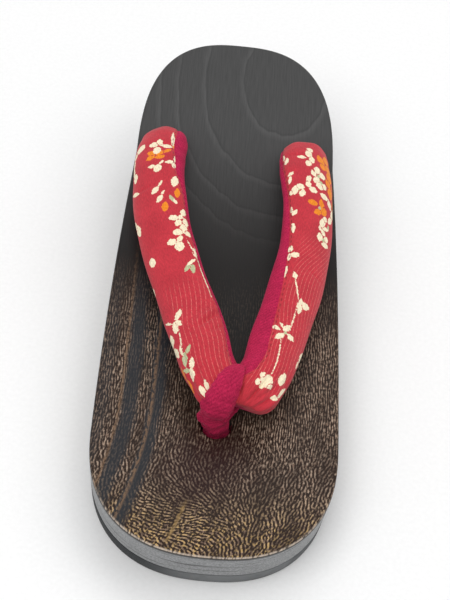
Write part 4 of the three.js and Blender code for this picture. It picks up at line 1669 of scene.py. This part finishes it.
@dataclass
class Studio:
    """A pale floor, soft lights and the camera."""

    eye: tuple[float, float, float] = (-19.2, -389.0, 442.1)
    target: tuple[float, float, float] = (0.0, -11.0, 25.0)
    up: tuple[float, float, float] = (-0.0961, 0.7376, 0.6683)
    lens: float = 94.0
    film_width: float = 36.0
    floor_reach: float = 2500.0
    sky: float = 0.545
    # side of each square light in metres, then each one's place in metres and its watts
    light_size: float = 0.9
    lights: tuple = (((-0.45, -0.55, 1.05), 5.8), ((0.65, 0.10, 1.00), 3.0), ((0.0, 0.75, 1.10), 3.2))

    def camera(self) -> None:
        """Set the camera at the eye, looking at the target, rolled so that `up` lies in its upright plane."""
        data = bpy.data.cameras.new("camera")
        data.lens, data.sensor_width = self.lens, self.film_width
        data.clip_start, data.clip_end = 0.01, 20.0
        camera = bpy.data.objects.new("camera", data)
        bpy.context.scene.collection.objects.link(camera)
        eye, target = Vector(self.eye) * MM, Vector(self.target) * MM
        back = (eye - target).normalized()
        right = Vector(self.up).cross(back).normalized()
        upright = back.cross(right)
        turn = Matrix((right, upright, back)).transposed().to_4x4()
        camera.matrix_world = Matrix.Translation(eye) @ turn
        bpy.context.scene.camera = camera

    def build(self) -> None:
        """Lay the floor and hang the lights."""
        corners = self.floor_reach * np.array([[-1, -1, 0], [1, -1, 0], [1, 1, 0], [-1, 1, 0]], float)
        material, tree = blank_material("matt_paper_sweep")
        # loose paper fibres scatter the light, so the eye gets a near white with the faintest tooth
        where = add_node(tree, "TexCoord", out="Object")
        fibre = add_node(tree, "TexNoise", {0: where, "Scale": 700.0, "Detail": 2.0})
        colour = add_node(tree, "ValToRGB", {0: fibre}, stops=[(0.3, "f6f6f6"), (0.7, "fafafa")])
        finish_material(material, {"Base Color": colour, "Roughness": 0.9})
        floor = mesh_piece("floor", corners, np.array([[0, 1, 2, 3]]), np.zeros((0, 3), int), [material])
        for i, (place, watts) in enumerate(self.lights):
            data = bpy.data.lights.new(f"soft_light_{i}", "AREA")
            data.shape, data.size, data.energy = "SQUARE", self.light_size, watts
            lamp = bpy.data.objects.new(f"soft_light_{i}", data)
            lamp.location = place
            lamp.rotation_euler = (-Vector(place)).to_track_quat("-Z", "Y").to_euler()
            bpy.context.scene.collection.objects.link(lamp)
        world = bpy.data.worlds.new("studio_white")
        world.use_nodes = True
        background = world.node_tree.nodes["Background"]
        background.inputs[0].default_value = (1.0, 1.0, 1.0, 1.0)
        background.inputs[1].default_value = self.sky
        bpy.context.scene.world = world
        bpy.context.scene.view_settings.view_transform = "Standard"


def put_on(piece, node: str) -> None:
    """Ride a piece on the sandal's one body, hide the CAD node that it stands for and say which that is.

    Args:
        piece: the piece.
        node: the CAD node.
    """
    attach(piece, "root")
    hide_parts(node)
    LOG.info("%s: %d faces, stands for %s", piece.name, len(piece.data.polygons), node)


def main() -> None:
    """Build the sandal in order: frame, camera, deck, treads, strap, loop and studio."""
    logging.basicConfig(level=logging.INFO, format="%(name)s %(message)s")
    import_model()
    studio = Studio()
    studio.camera()

    shape = DeckShape()
    top_finish, wall_finish, rubber, crepe, velvet = (
        finish().build()
        for finish in (ScorchedLacquerTop, SandedPlankWall, CrumbRubber, PrintedCrepe, RibbedVelvet))

    put_on(Deck(shape).build(top_finish, wall_finish), "deck")
    front = Tread("front_tread_rubber", shape, -shape.length, shape.front_block_end)
    heel = Tread("heel_tread_rubber", shape, shape.heel_block_start, shape.length)
    put_on(front.build(rubber), "front_rubber_pad")
    put_on(heel.build(rubber), "heel_rubber_pad")

    for arm in (low_x_arm(shape), high_x_arm(shape)):
        name = arm.side.name.lower()
        piece = arm.build(f"strap_arm_{name}", crepe, velvet)
        put_on(piece, "strap_pair")
        cord = RearCord(shape, arm.side).build(f"rear_cord_{name}", crepe)
        put_on(cord, "strap_pair")
    loop = FrontLoop(shape).build(velvet)
    put_on(loop, "front_loop")

    studio.build()


if __name__ == "__main__":
    main()
